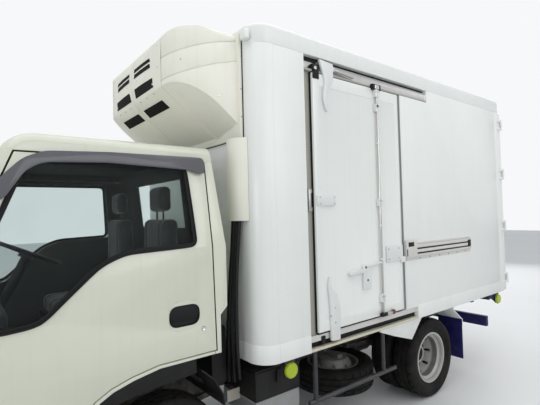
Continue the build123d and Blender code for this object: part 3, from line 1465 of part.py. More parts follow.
# Arch liners hung under the cab's lip on each side
liner_outline = behind_front(
    (
        (1226, cab_sill_z), (1011, cab_sill_z), (873, 865), (774, 836), (713, 803), (675, 758),
        (705, 735), (755, 758), (837, 774), (1055, 797), (1226, 807),
    )
)
liner_y = (half_cab - 67.5, half_cab - 11.5)

with BuildPart() as arch_liners:
    add(side_prism(liner_outline, *liner_y))
    mirror(about=Plane.XZ)
arch_liners.part.label = "arch_liners"
export_step(arch_liners.part, "parts/arch_liners.step")

# Seats: bases shaped to the cab floor, cushions and backs
seat_rear_x = cab_back_x + 160.0
seat_back_x = seat_rear_x + 110.0
seat_front_x = seat_back_x + 480.0
seat_base_z = 1000.0
cushion_top_z = 1120.0
backrest_top_z = 1680.0
headrest_top_z = 1880.0
seat_y = (170.0, 640.0)
seat_middle_y = sum(seat_y) / 2
seat_width = seat_y[1] - seat_y[0]

with BuildPart() as seat_bases:
    for side in (1, -1):
        with Locations(((seat_front_x + seat_rear_x) / 2, side * seat_middle_y, seat_base_z - 150)):
            Box(seat_front_x - seat_rear_x, seat_width - 30, 300)
    add(cab_inner, mode=Mode.INTERSECT)
seat_bases.part.label = "seat_bases"
export_step(seat_bases.part, "parts/seat_bases.step")

with BuildPart() as seat_cushions:
    for side in (1, -1):
        with Locations(
            ((seat_front_x + seat_back_x) / 2, side * seat_middle_y, (seat_base_z + cushion_top_z) / 2)
        ):
            Box(seat_front_x - seat_back_x, seat_width, cushion_top_z - seat_base_z)
    fillet(seat_cushions.edges().group_by(Axis.Z)[-1], 35)
seat_cushions.part.label = "seat_cushions"
export_step(seat_cushions.part, "parts/seat_cushions.step")

with BuildPart() as seat_backs:
    for side in (1, -1):
        back_middle = ((seat_back_x + seat_rear_x) / 2, side * seat_middle_y)
        with Locations((*back_middle, (seat_base_z + backrest_top_z) / 2)):
            Box(seat_back_x - seat_rear_x, seat_width, backrest_top_z - seat_base_z)
        with Locations((*back_middle, (backrest_top_z + headrest_top_z) / 2)):
            Box(80, 240, headrest_top_z - backrest_top_z)
    fillet(seat_backs.edges().filter_by(Axis.Z), 25)
seat_backs.part.label = "seat_backs"
export_step(seat_backs.part, "parts/seat_backs.step")

# Dashboard with the steering column, then the steering wheel on it
dash_x = front_end_x - 355.0
dash_z = (1000.0, screen_foot[1])
dash_half = half_cab - 67.5
wheel_tilt = 25.0
wheel_centre = Vector(dash_x - 220, -380, 1450)
wheel_axis = Vector(-sin(radians(wheel_tilt)), 0, cos(radians(wheel_tilt)))
wheel_radius = 210.0
wheel_grip = 14.0
hub_radius = 55.0
hub_height = 40.0
column_radius = 32.0
column_length = 900.0
wheel_plane = Plane(origin=wheel_centre, x_dir=(0, 1, 0), z_dir=wheel_axis)

with BuildPart() as dashboard:
    with Locations(((dash_x + front_end_x) / 2, 0, sum(dash_z) / 2)):
        Box(front_end_x - dash_x, 2 * dash_half, dash_z[1] - dash_z[0])
    with BuildSketch(wheel_plane.offset(-hub_height - seat_gap)):
        Circle(column_radius)
    extrude(amount=-column_length)
    add(cab_inner, mode=Mode.INTERSECT)
dashboard.part.label = "dashboard"
export_step(dashboard.part, "parts/dashboard.step")

with BuildPart() as steering_wheel:
    with BuildSketch(Plane(origin=wheel_centre + Vector(0, wheel_radius, 0), z_dir=(1, 0, 0))):
        Circle(wheel_grip)
    revolve(axis=Axis(wheel_centre, wheel_axis))
    with BuildSketch(wheel_plane.offset(-hub_height)):
        Circle(hub_radius)
    extrude(amount=hub_height)
    with BuildSketch(wheel_plane.offset(-15)):
        for turn in (90, 210, 330):
            with Locations(Location((0, 0, 0), turn)):
                with Locations((wheel_radius / 2, 0)):
                    Rectangle(wheel_radius - 6, 34)
    extrude(amount=12)
steering_wheel.part.label = "steering_wheel"
export_step(steering_wheel.part, "parts/steering_wheel.step")

# Mirrors on stays from the front corners of the cab
mirror_x = front_end_x - 55.0
mirror_y = half_cab + 132.5
mirror_z = 1500.0
mirror_size = (60.0, 170.0, 300.0)
stay_radius = 11.0
stay_heights = (1420.0, 1580.0)

with BuildPart() as mirrors:
    with Locations((mirror_x, mirror_y, mirror_z)):
        Box(*mirror_size)
    fillet(mirrors.edges().filter_by(Axis.X), 30)
    for z in stay_heights:
        foot = Vector(mirror_x - 100 - (z - stay_heights[0]) * screen_slope, half_cab - cab_corner, z)
        head = Vector(mirror_x, mirror_y - 60, z)
        with BuildSketch(Plane(origin=foot, z_dir=head - foot)):
            Circle(stay_radius)
        extrude(amount=(head - foot).length)
    add(cab_outer, mode=Mode.SUBTRACT)
    mirror(about=Plane.XZ)
mirrors.part.label = "mirrors"
export_step(mirrors.part, "parts/mirrors.step")
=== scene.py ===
import json
import math
from contextlib import contextmanager

import bmesh
import bpy
from bpy.props import FloatProperty, FloatVectorProperty, PointerProperty
from mathutils import Matrix, Vector

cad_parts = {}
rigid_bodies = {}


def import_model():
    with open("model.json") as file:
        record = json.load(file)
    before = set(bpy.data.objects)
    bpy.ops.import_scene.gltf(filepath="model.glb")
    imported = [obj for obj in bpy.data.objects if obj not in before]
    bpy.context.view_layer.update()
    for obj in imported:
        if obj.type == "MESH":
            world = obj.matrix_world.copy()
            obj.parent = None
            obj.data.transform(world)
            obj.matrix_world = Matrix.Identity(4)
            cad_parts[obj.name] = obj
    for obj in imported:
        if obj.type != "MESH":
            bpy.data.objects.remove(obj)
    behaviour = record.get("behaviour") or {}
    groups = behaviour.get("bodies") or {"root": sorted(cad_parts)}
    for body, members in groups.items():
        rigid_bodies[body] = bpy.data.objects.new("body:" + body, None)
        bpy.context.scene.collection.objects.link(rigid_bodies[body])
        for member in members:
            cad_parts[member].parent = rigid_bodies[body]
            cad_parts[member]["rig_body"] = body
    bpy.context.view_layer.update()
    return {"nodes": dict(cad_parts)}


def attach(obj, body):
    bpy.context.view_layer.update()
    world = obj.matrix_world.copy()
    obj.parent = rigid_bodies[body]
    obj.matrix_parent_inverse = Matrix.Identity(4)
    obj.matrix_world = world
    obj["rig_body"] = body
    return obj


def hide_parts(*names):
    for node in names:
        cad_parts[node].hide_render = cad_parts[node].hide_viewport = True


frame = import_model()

bl_info = {
    "name": "Refrigerated Truck",
    "version": (1, 0, 0),
    "blender": (4, 5, 0),
    "location": "View3D > Sidebar > Truck",
    "description": "Finishes and fine pieces for the light refrigerated truck",
    "category": "Object",
}

NODES = frame["nodes"]

# Places in metres that several pieces share
FRONT_AXLE, REAR_AXLE = 1.485, -1.005
AXLE_HEIGHT = 0.345
WALL_FRONT = 0.934
SIDES = (1, -1)


def colour_property(label, words, default):
    """A colour that a user may change."""
    return FloatVectorProperty(
        name=label, description=words, subtype="COLOR", size=3, min=0.0, max=1.0, default=default
    )


def length_property(label, words, default):
    """A length in metres that a user may change."""
    return FloatProperty(name=label, description=words, unit="LENGTH", min=0.0, default=default)


class TruckColours(bpy.types.PropertyGroup):
    """Colours of the truck's finishes."""

    panel_white: colour_property("Panel white", "Skin of the insulated body", (0.79, 0.81, 0.785))
    cab_white: colour_property("Cab white", "Gloss paint of the cab", (0.63, 0.645, 0.535))
    shell_white: colour_property("Unit white", "Moulded housing of the cooling unit", (0.80, 0.79, 0.70))
    frame_black: colour_property("Frame black", "Paint of the chassis", (0.012, 0.012, 0.014))
    plastic_black: colour_property("Plastic black", "Unpainted dark mouldings", (0.011, 0.011, 0.012))
    rubber_black: colour_property("Rubber black", "Tyres, hoses and seals", (0.006, 0.006, 0.006))
    rail_silver: colour_property("Rail silver", "Aluminium of the door tracks", (0.56, 0.56, 0.55))
    rim_silver: colour_property("Rim silver", "Painted steel wheels", (0.42, 0.425, 0.41))
    cast_grey: colour_property("Cast grey", "Axles, springs and engine", (0.05, 0.05, 0.052))
    smoke: colour_property("Visor smoke", "Tint of the rain visors", (0.17, 0.167, 0.19))
    cloth_grey: colour_property("Seat grey", "Woven seat cloth", (0.036, 0.039, 0.040))
    flap_navy: colour_property("Flap navy", "Rear mudguards and underrun bar", (0.005, 0.007, 0.100))
    marker_green: colour_property("Marker green", "Side marker lenses", (0.50, 0.62, 0.03))
    lamp_red: colour_property("Lamp red", "Rear lamp lenses", (0.42, 0.012, 0.010))


class StageSizes(bpy.types.PropertyGroup):
    """Camera, floor and light."""

    eye: FloatVectorProperty(
        name="Eye", description="Place of the camera", subtype="TRANSLATION", unit="LENGTH", size=3,
        default=(2.3737, 2.8644, 1.6807),
    )
    heading: FloatProperty(
        name="Heading", description="Turn of the view from straight across the truck towards its tail",
        subtype="ANGLE", default=math.radians(38.081),
    )
    lift: FloatProperty(
        name="Lift", description="Upward tilt of the view", subtype="ANGLE", default=math.radians(1.593)
    )
    roll: FloatProperty(
        name="Roll", description="Roll of the camera", subtype="ANGLE", default=math.radians(-1.467)
    )
    lens: FloatProperty(name="Lens", description="Focal length in millimetres", min=1.0, default=26.68)
    floor_size: length_property("Floor", "Side of the square floor", 60.0)
    floor_colour: colour_property("Floor colour", "Pale floor", (0.72, 0.73, 0.73))


# Node groups and materials

def effect_group(name, inputs, outputs):
    """An empty node group with named inputs and outputs, and the sockets of its two end nodes."""
    tree = bpy.data.node_groups.new(name, "ShaderNodeTree")
    for label, kind, default in inputs:
        socket = tree.interface.new_socket(name=label, in_out="INPUT", socket_type=kind)
        if default is not None:
            socket.default_value = default
    for label in outputs:
        tree.interface.new_socket(name=label, in_out="OUTPUT", socket_type="NodeSocketFloat")
    return Tree(tree), tree.nodes.new("NodeGroupInput").outputs, tree.nodes.new("NodeGroupOutput").inputs


class Tree:
    """A node tree with a short way to add nodes and join them."""

    def __init__(self, tree):
        self.tree = tree

    def add(self, kind, values=None, output=0, **settings):
        """Add a node, set or link its inputs by name or number, and return one of its outputs."""
        node = self.tree.nodes.new(kind)
        for key, value in settings.items():
            setattr(node, key, value)
        for key, value in (values or {}).items():
            self.feed(node.inputs[key], value)
        return node.outputs[output]

    def feed(self, socket, value):
        """Link an output to a socket, or set a constant on it."""
        if isinstance(value, bpy.types.NodeSocket):
            self.tree.links.new(value, socket)
        else:
            socket.default_value = value

    def math(self, operation, first, second=0.5, clamp=False):
        return self.add("ShaderNodeMath", {0: first, 1: second}, operation=operation, use_clamp=clamp)

    def noise(self, place, scale, detail=2.0, roughness=0.5):
        return self.add(
            "ShaderNodeTexNoise", {"Vector": place, "Scale": scale, "Detail": detail, "Roughness": roughness}
        )

    def spread(self, value, low, high, to_low=0.0, to_high=1.0):
        """Stretch a value between two limits, held at the ends."""
        return self.add(
            "ShaderNodeMapRange",
            {"Value": value, "From Min": low, "From Max": high, "To Min": to_low, "To Max": to_high},
            clamp=True,
        )

    def stretch(self, place, scale):
        return self.add("ShaderNodeMapping", {"Vector": place, "Scale": scale})


def build_effects():
    """The shared effects: uneven tone, road dust, grain, brushed lines, scuffs, streaks and weave."""
    vector, number = "NodeSocketVector", "NodeSocketFloat"
    if "Uneven Tone" in bpy.data.node_groups:
        return
    tree, given, out = effect_group(
        "Uneven Tone", (("Place", vector, None), ("Scale", number, 3.0), ("Amount", number, 0.1)), ("Shade",)
    )
    cloud = tree.spread(tree.noise(given["Place"], given["Scale"], 4.0, 0.6), 0.3, 0.7)
    tree.feed(out["Shade"], tree.math("SUBTRACT", 1.0, tree.math("MULTIPLY", cloud, given["Amount"])))

    tree, given, out = effect_group(
        "Road Dust",
        (
            ("Place", vector, None), ("Clean Height", number, 0.9), ("Scale", number, 9.0),
            ("Amount", number, 0.5),
        ),
        ("Mask",),
    )
    height = tree.add("ShaderNodeSeparateXYZ", {0: given["Place"]}, output="Z")
    low = tree.spread(tree.math("DIVIDE", height, given["Clean Height"]), 0.25, 1.0, 1.0, 0.0)
    patch = tree.spread(tree.noise(given["Place"], given["Scale"], 6.0, 0.65), 0.35, 0.68)
    tree.feed(out["Mask"], tree.math("MULTIPLY", tree.math("MULTIPLY", low, patch), given["Amount"], True))

    tree, given, out = effect_group(
        "Grain", (("Place", vector, None), ("Scale", number, 400.0)), ("Height", "Shade")
    )
    fine = tree.noise(given["Place"], given["Scale"], 3.0, 0.6)
    tree.feed(out["Height"], fine)
    tree.feed(out["Shade"], tree.spread(fine, 0.35, 0.65, 0.85, 1.0))

    tree, given, out = effect_group(
        "Brushed Lines",
        (("Place", vector, None), ("Stretch", vector, (2.0, 300.0, 300.0)), ("Amount", number, 0.2)),
        ("Shade", "Height"),
    )
    lines = tree.noise(tree.stretch(given["Place"], given["Stretch"]), 1.0, 3.0)
    tree.feed(out["Height"], lines)
    shade = tree.math("MULTIPLY", tree.spread(lines, 0.3, 0.7), given["Amount"])
    tree.feed(out["Shade"], tree.math("SUBTRACT", 1.0, shade))

    tree, given, out = effect_group(
        "Scuffs", (("Place", vector, None), ("Scale", number, 14.0), ("Amount", number, 0.3)), ("Mask",)
    )
    wobble = tree.add("ShaderNodeTexNoise", {"Vector": given["Place"], "Scale": 6.0}, output=1)
    warped = tree.add("ShaderNodeVectorMath", {0: given["Place"], 1: wobble}, operation="ADD")
    cracks = tree.add(
        "ShaderNodeTexVoronoi", {"Vector": warped, "Scale": given["Scale"]}, feature="DISTANCE_TO_EDGE"
    )
    thin = tree.spread(cracks, 0.0, 0.02, 1.0, 0.0)
    here = tree.spread(tree.noise(given["Place"], 5.0, 4.0), 0.52, 0.66)
    tree.feed(out["Mask"], tree.math("MULTIPLY", tree.math("MULTIPLY", thin, here), given["Amount"], True))

    tree, given, out = effect_group(
        "Rain Streaks", (("Place", vector, None), ("Scale", number, 1.0), ("Amount", number, 0.1)), ("Shade",)
    )
    runs = tree.noise(
        tree.add(
            "ShaderNodeVectorMath",
            {0: tree.stretch(given["Place"], (26.0, 26.0, 0.8)), 3: given["Scale"]}, operation="SCALE",
        ),
        1.0, 5.0, 0.6,
    )
    streak = tree.math("MULTIPLY", tree.spread(runs, 0.5, 0.75), given["Amount"])
    tree.feed(out["Shade"], tree.math("SUBTRACT", 1.0, streak))

    tree, given, out = effect_group(
        "Woven Cloth", (("Place", vector, None), ("Scale", number, 260.0)), ("Shade", "Height")
    )
    threads = [
        tree.add(
            "ShaderNodeTexWave",
            {"Vector": given["Place"], "Scale": given["Scale"], "Distortion": 0.6, "Detail": 1.0},
            output="Fac", bands_direction=direction,
        )
        for direction in ("Y", "Z", "X")
    ]
    weave = tree.math("MAXIMUM", tree.math("MAXIMUM", threads[0], threads[1]), threads[2])
    tree.feed(out["Height"], weave)
    tree.feed(out["Shade"], tree.spread(weave, 0.2, 1.0, 0.55, 1.0))


class Finish(Tree):
    """A material on Object coordinates, built on one Principled shader."""

    def __init__(self, name, colour, roughness, metallic=0.0, **shader_values):
        self.material = bpy.data.materials.new(name)
        self.material.use_nodes = True
        super().__init__(self.material.node_tree)
        self.shader = self.tree.nodes["Principled BSDF"]
        self.place = self.add("ShaderNodeTexCoord", output="Object")
        self.colour = self.add("ShaderNodeRGB")
        self.colour.default_value = (*colour, 1.0)
        self.shader.inputs["Roughness"].default_value = roughness
        self.shader.inputs["Metallic"].default_value = metallic
        self.roughness = roughness
        for key, value in shader_values.items():
            self.shader.inputs[key.replace("_", " ")].default_value = value
        self.material.diffuse_color = (*colour, 1.0)

    def effect(self, name, output, **values):
        """Place a shared effect, fed with this material's coordinates and its own values."""
        node = self.tree.nodes.new("ShaderNodeGroup")
        node.node_tree = bpy.data.node_groups[name]
        self.feed(node.inputs["Place"], self.place)
        for key, value in values.items():
            self.feed(node.inputs[key.replace("_", " ")], value)
        return node.outputs[output]

    def shade(self, factor):
        """Darken the colour by a value over the surface."""
        self.colour = self.add(
            "ShaderNodeVectorMath", {0: self.colour, 3: factor}, operation="SCALE"
        )
        return self

    def cover(self, mask, colour, roughness=None):
        """Lay another colour over this one where the mask is high, with its own roughness."""
        self.colour = self.add(
            "ShaderNodeMix", {0: mask, 6: self.colour, 7: (*colour, 1.0)}, output=2, data_type="RGBA"
        )
        if roughness is not None:
            self.vary(mask, roughness)
        return self

    def vary(self, mask, roughness):
        """Move the roughness towards another value where the mask is high."""
        self.roughness = self.add(
            "ShaderNodeMix", {0: mask, 2: self.roughness, 3: roughness}, data_type="FLOAT"
        )
        return self

    def bump(self, height, strength, distance=0.001):
        """Raise the surface by a height, on top of any bump already there."""
        node = self.tree.nodes.new("ShaderNodeBump")
        node.inputs["Strength"].default_value = strength
        node.inputs["Distance"].default_value = distance
        self.feed(node.inputs["Height"], height)
        before = self.shader.inputs["Normal"]
        if before.is_linked:
            self.feed(node.inputs["Normal"], before.links[0].from_socket)
        self.feed(before, node.outputs["Normal"])
        return self

    def done(self):
        self.feed(self.shader.inputs["Base Color"], self.colour)
        self.feed(self.shader.inputs["Roughness"], self.roughness)
        return self.material


DUST = (0.30, 0.27, 0.23)
FINISHES = {}


def painted(name, colour, roughness, dust, clean_height, coat=0.0, peel=0.12):
    """Gloss or satin paint with a slight ripple, uneven tone and dust low down."""
    skin = Finish(name, colour, roughness, Coat_Weight=coat, Coat_Roughness=0.06)
    skin.shade(skin.effect("Uneven Tone", "Shade", Scale=1.7, Amount=0.035))
    skin.shade(skin.effect("Rain Streaks", "Shade", Amount=0.035))
    mask = skin.effect("Road Dust", "Mask", Clean_Height=clean_height, Scale=7.0, Amount=dust)
    skin.cover(mask, DUST, 0.75)
    skin.vary(skin.effect("Scuffs", "Mask", Scale=9.0, Amount=0.4), 0.6)
    skin.bump(skin.effect("Grain", "Height", Scale=90.0), peel, 0.0006)
    return skin.done()


def dark_metal(name, colour, roughness, dust, rust=0.0):
    """Black or cast metal under a truck, dusty and a little rusty."""
    skin = Finish(name, colour, roughness, Specular_IOR_Level=0.2)
    skin.shade(skin.effect("Uneven Tone", "Shade", Scale=14.0, Amount=0.35))
    if rust:
        skin.cover(skin.effect("Scuffs", "Mask", Scale=22.0, Amount=rust), (0.16, 0.055, 0.02), 0.9)
    skin.cover(skin.effect("Road Dust", "Mask", Clean_Height=1.0, Scale=16.0, Amount=dust), DUST, 0.9)
    skin.bump(skin.effect("Grain", "Height", Scale=260.0), 0.35, 0.0006)
    return skin.done()


def moulded(name, colour, roughness, grain=500.0, dust=0.12, strength=0.3, **shader_values):
    """Plastic or rubber with a fine grain."""
    skin = Finish(name, colour, roughness, **shader_values)
    skin.shade(skin.effect("Grain", "Shade", Scale=grain))
    skin.shade(skin.effect("Uneven Tone", "Shade", Scale=6.0, Amount=0.12))
    skin.cover(skin.effect("Road Dust", "Mask", Clean_Height=1.1, Scale=12.0, Amount=dust), DUST, 0.9)
    skin.bump(skin.effect("Grain", "Height", Scale=grain), strength, 0.0004)
    return skin.done()


def bright_metal(name, colour, roughness, stretch, dust=0.1, wear=0.3):
    """Drawn or brushed metal with lines along its length."""
    skin = Finish(name, colour, roughness, 1.0)
    skin.shade(skin.effect("Brushed Lines", "Shade", Stretch=stretch, Amount=0.25))
    skin.shade(skin.effect("Uneven Tone", "Shade", Scale=8.0, Amount=0.12))
    skin.vary(skin.effect("Scuffs", "Mask", Scale=30.0, Amount=wear), 0.7)
    skin.cover(skin.effect("Road Dust", "Mask", Clean_Height=0.9, Scale=14.0, Amount=dust), DUST, 0.85)
    skin.bump(skin.effect("Brushed Lines", "Height", Stretch=stretch), 0.2, 0.0003)
    return skin.done()


def see_through(name, colour, roughness, transmission, dirt=0.05, **shader_values):
    """Glass or a clear lens with a faint film of dust."""
    skin = Finish(name, colour, roughness, Transmission_Weight=transmission, **shader_values)
    skin.shade(skin.effect("Uneven Tone", "Shade", Scale=2.5, Amount=dirt))
    skin.vary(skin.effect("Uneven Tone", "Shade", Scale=30.0, Amount=1.0), roughness * 1.6)
    skin.bump(skin.effect("Grain", "Height", Scale=4.0), 0.02, 0.001)
    return skin.done()


# Bands of painted shade on a road wheel's disc, where its deep slope lies in shade: inner and outer radius
WHEEL_SHADE_BANDS = ((0.122, 0.143), (0.160, 0.179), (0.198, 0.206))
WHEEL_SHADE_DEPTH = 0.75


def wheel_shadow(skin):
    """Painted shade: a value that darkens the deep slope of each road wheel, between its disc and its rolled
    edge.
    """
    axes = skin.tree.nodes.new("ShaderNodeSeparateXYZ")
    skin.feed(axes.inputs[0], skin.place)
    ahead, behind = (
        skin.math("ABSOLUTE", skin.math("SUBTRACT", axes.outputs["X"], axle_x))
        for axle_x in (FRONT_AXLE, REAR_AXLE)
    )
    up = skin.math("SUBTRACT", axes.outputs["Z"], AXLE_HEIGHT)
    out = skin.add("ShaderNodeCombineXYZ", {"X": skin.math("MINIMUM", ahead, behind), "Z": up})
    radius = skin.add("ShaderNodeVectorMath", {0: out}, output="Value", operation="LENGTH")
    bands = []
    for low, high in WHEEL_SHADE_BANDS:
        inner = skin.spread(radius, low, low + 0.006)
        outer = skin.spread(radius, high - 0.005, high, 1.0, 0.0)
        bands.append(skin.math("MULTIPLY", inner, outer))
    dark = skin.math("ADD", skin.math("ADD", bands[0], bands[1]), bands[2])
    return skin.math("SUBTRACT", 1.0, skin.math("MULTIPLY", dark, WHEEL_SHADE_DEPTH))


def wheel_silver(colour):
    """Painted steel discs of the road wheels, with painted shade in their deep slope."""
    skin = Finish("wheel_silver", colour, 0.38, Coat_Weight=0.2)
    skin.shade(skin.effect("Uneven Tone", "Shade", Scale=9.0, Amount=0.15))
    skin.shade(wheel_shadow(skin))
    skin.cover(skin.effect("Road Dust", "Mask", Clean_Height=0.9, Scale=20.0, Amount=0.25), DUST, 0.8)
    skin.bump(skin.effect("Grain", "Height", Scale=150.0), 0.15, 0.0006)
    return skin.done()


def seat_cloth(colour):
    """Woven cloth of the seats."""
    skin = Finish("seat_cloth", colour, 0.9, Sheen_Weight=0.35, Sheen_Roughness=0.5)
    skin.shade(skin.effect("Woven Cloth", "Shade", Scale=150.0))
    skin.shade(skin.effect("Uneven Tone", "Shade", Scale=9.0, Amount=0.2))
    skin.bump(skin.effect("Woven Cloth", "Height", Scale=150.0), 0.5, 0.0008)
    return skin.done()


def pale_floor(colour):
    """The plain floor of the stage."""
    skin = Finish("pale_floor", colour, 0.55)
    skin.shade(skin.effect("Uneven Tone", "Shade", Scale=0.4, Amount=0.05))
    return skin.done()


def build_finishes(colours):
    """Every finish of the truck, by name."""
    build_effects()
    FINISHES.update(
        panel=painted("panel_white", colours.panel_white, 0.34, 0.35, 0.95, 0.15, 0.10),
        cab=painted("cab_white", colours.cab_white, 0.24, 0.25, 0.85, 0.6, 0.06),
        shell=painted("unit_white", colours.shell_white, 0.42, 0.0, 0.5, 0.0, 0.25),
        gear=painted("gear_white", (0.72, 0.73, 0.72), 0.40, 0.2, 0.9, 0.1, 0.30),
        frame=dark_metal("frame_black", colours.frame_black, 0.45, 0.55),
        cast=dark_metal("cast_grey", colours.cast_grey, 0.75, 0.6, 0.5),
        bar=moulded("bar_grey", (0.022, 0.023, 0.029), 0.42, 300.0, 0.12),
        plastic=moulded("plastic_black", colours.plastic_black, 0.5, 650.0, 0.06, Specular_IOR_Level=0.2),
        gasket=moulded("gasket_black", (0.008, 0.008, 0.009), 0.55, 300.0, 0.03, Specular_IOR_Level=0.2),
        hose=moulded("hose_black", colours.rubber_black, 0.42, 420.0, 0.03, Specular_IOR_Level=0.3),
        tyre=moulded("tyre_black", colours.rubber_black, 0.72, 220.0, 0.05, 0.6, Specular_IOR_Level=0.15),
        grey=moulded("box_grey", (0.32, 0.33, 0.34), 0.5, 300.0, 0.4),
        flap=moulded("flap_navy", colours.flap_navy, 0.55, 160.0, 0.08, 0.5, Specular_IOR_Level=0.3),
        rail=bright_metal("rail_silver", colours.rail_silver, 0.36, (1.5, 220.0, 220.0)),
        plated=bright_metal("plated_steel", (0.66, 0.65, 0.62), 0.25, (90.0, 90.0, 3.0)),
        tank=bright_metal("tank_steel", (0.42, 0.42, 0.41), 0.42, (3.0, 90.0, 90.0), 0.5),
        glass=see_through("clear_glass", (0.80, 0.86, 0.85), 0.03, 0.99, IOR=1.05),
        smoke=see_through("visor_smoke", colours.smoke, 0.10, 0.35, 0.2, IOR=1.45),
        lens=see_through("lamp_lens", (0.92, 0.93, 0.94), 0.04, 0.85, IOR=1.4),
        red=see_through("rear_lens_red", colours.lamp_red, 0.12, 0.25, IOR=1.45),
        marker=see_through("marker_lens", colours.marker_green, 0.14, 0.2, IOR=1.45),
        amber=see_through("lens_amber", (0.72, 0.22, 0.01), 0.14, 0.2, IOR=1.45),
        mirror=see_through("mirror_glass", (0.75, 0.78, 0.80), 0.03, 0.0, 0.04, Metallic=1.0),
        trim=moulded("cab_trim", (0.030, 0.035, 0.030), 0.8, 260.0, 0.0, 0.5),
        knob=moulded("knob_brown", (0.16, 0.035, 0.028), 0.45, 300.0, 0.1),
        seal=moulded("seal_grey", (0.36, 0.365, 0.365), 0.55, 300.0, 0.1),
        # Black of the unit's slots: the grille, and painted shade of the slots' depth.
        mesh=moulded("slot_mesh", (0.008, 0.008, 0.007), 0.7, 900.0, 0.0, 0.8, Specular_IOR_Level=0.1),
        jamb=painted("jamb_grey", (0.34, 0.335, 0.29), 0.45, 0.3, 0.95),
        cream=painted("step_cream", (0.60, 0.57, 0.46), 0.45, 0.4, 0.95),
        pale=painted("rail_pale", (0.62, 0.61, 0.58), 0.30, 0.25, 0.95, 0.2, 0.05),
        # The spare wheel's silver paint, darkened as painted shade for where it lies under the body.
        spare=painted("spare_silver", (0.15, 0.152, 0.148), 0.4, 0.45, 0.9, 0.1, 0.2),
        blank=painted("blank_plate", (0.52, 0.49, 0.42), 0.5, 0.3, 0.9),
        disc=wheel_silver(colours.rim_silver),
        cloth=seat_cloth(colours.cloth_grey),
        floor=pale_floor(bpy.context.scene.truck_stage.floor_colour),
    )


# The finish of each CAD node
NODE_FINISH = {
    "frame_rails": "frame", "body_bearers": "frame", "leaf_springs": "cast", "axles": "cast",
    "engine_block": "cast", "drive_shaft": "frame", "front_bumper": "cab", "spare_tyre": "tyre",
    "spare_rim": "spare",
    "box_floor": "panel", "box_front_wall": "panel", "box_left_wall": "panel", "box_right_wall": "panel",
    "box_roof": "panel", "box_rear_frame": "panel", "side_door": "panel", "side_door_surround": "rail",
    "side_door_gear": "gear", "cooling_unit": "shell", "hose_duct": "shell", "cooling_hoses": "hose",
    "guard_bars": "bar", "rear_lamps": "red", "marker_lamps": "marker", "battery_box": "plastic",
    "fuel_tank": "tank", "silencer": "tank", "air_cleaner": "plastic", "rear_wings": "panel",
    "mudguards": "flap", "cab_roof": "cab", "cab_back_panel": "cab", "cab_floor": "cab",
    "cab_front_panel": "cab", "headlamps": "lens", "cab_glass": "glass", "arch_liners": "plastic",
    "seat_bases": "plastic", "seat_cushions": "cloth", "seat_backs": "cloth", "dashboard": "plastic",
    "mirrors": "plastic", "door_left": "cab", "door_glass_left": "glass", "door_right": "cab",
    "door_glass_right": "glass", "steering_wheel": "plastic", "knuckle_left": "cast",
    "knuckle_right": "cast", "tie_rod": "frame", "front_tyre_left": "tyre", "front_tyre_right": "tyre",
    "front_rim_left": "disc", "front_rim_right": "disc", "rear_tyres_left": "tyre",
    "rear_tyres_right": "tyre", "rear_rims_left": "disc", "rear_rims_right": "disc",
    "rear_door_left": "panel", "rear_door_right": "panel",
}


def give(obj, finish):
    """Put a finish on an object's material slot, leaving its mesh as it is."""
    if not obj.material_slots:
        obj.data.materials.append(FINISHES[finish])
    obj.material_slots[0].link = "OBJECT"
    obj.material_slots[0].material = FINISHES[finish]


# Modelling steps that the pieces share

def take(obj):
    """Leave object mode's selection on one object only, and make it active."""
    if bpy.context.object and bpy.context.object.mode != "OBJECT":
        bpy.ops.object.mode_set(mode="OBJECT")
    bpy.ops.object.select_all(action="DESELECT")
    if obj:
        obj.select_set(True)
        bpy.context.view_layer.objects.active = obj
    return obj


@contextmanager
def editing(obj):
    """Edit mode on one piece, with all of its mesh selected."""
    take(obj)
    bpy.ops.object.mode_set(mode="EDIT")
    bpy.ops.mesh.select_all(action="SELECT")
    yield
    bpy.ops.object.mode_set(mode="OBJECT")


def modify(obj, kind, **settings):
    """Add a modifier to a piece, set it and apply it."""
    take(obj)
    bpy.ops.object.modifier_add(type=kind)
    modifier = obj.modifiers[-1]
    for key, value in settings.items():
        setattr(modifier, key, value)
    bpy.ops.object.modifier_apply(modifier=modifier.name)
    return obj


def facing(axis, sign=1, limit=0.9):
    """A test for the faces that look along an axis: 0 for X, 1 for Y, 2 for Z."""
    return lambda place, normal: sign * normal[axis] > limit


FACES_FRONT, FACES_BACK, FACES_LEFT = facing(0), facing(0, -1), facing(1)


def faces_ends(place, normal):
    """A test for the faces that look forwards or backwards."""
    return abs(normal.x) > 0.9


def settle(name):
    """Name the new object and put its place, turn and size into its mesh."""
    obj = bpy.context.active_object
    obj.name = obj.data.name = name
    bpy.ops.object.transform_apply(location=True, rotation=True, scale=True)
    return obj


def add_block(name, low, high):
    """A box between two corners, as a start."""
    take(None)
    middle = [(a + b) / 2 for a, b in zip(low, high)]
    bpy.ops.mesh.primitive_cube_add(size=1.0, location=middle)
    bpy.context.active_object.scale = [b - a for a, b in zip(low, high)]
    return settle(name)


def span(side, inner, outer):
    """Low and high Y of a stretch on the left (1) or the right (-1)."""
    return sorted((side * inner, side * outer))


def side_block(name, side, x, y, z):
    """A box on the left (1) or the right (-1), from its spans along X, Y and Z on the left."""
    low_y, high_y = span(side, *y)
    return add_block(name, (x[0], low_y, z[0]), (x[1], high_y, z[1]))


def add_rod(name, start, end, radius, sides=24, end_radius=None):
    """A round bar or cone between two points, as a start."""
    take(None)
    start, end = Vector(start), Vector(end)
    run = end - start
    bpy.ops.mesh.primitive_cone_add(
        vertices=sides, radius1=radius, radius2=radius if end_radius is None else end_radius,
        depth=run.length, location=(start + end) / 2, rotation=run.to_track_quat("Z", "Y").to_euler(),
    )
    return settle(name)


def peg(name, x, z, inner, outer, radius, sides=20):
    """A round bar straight across the truck, between two places along Y."""
    return add_rod(name, (x, inner, z), (x, outer, z), radius, sides)


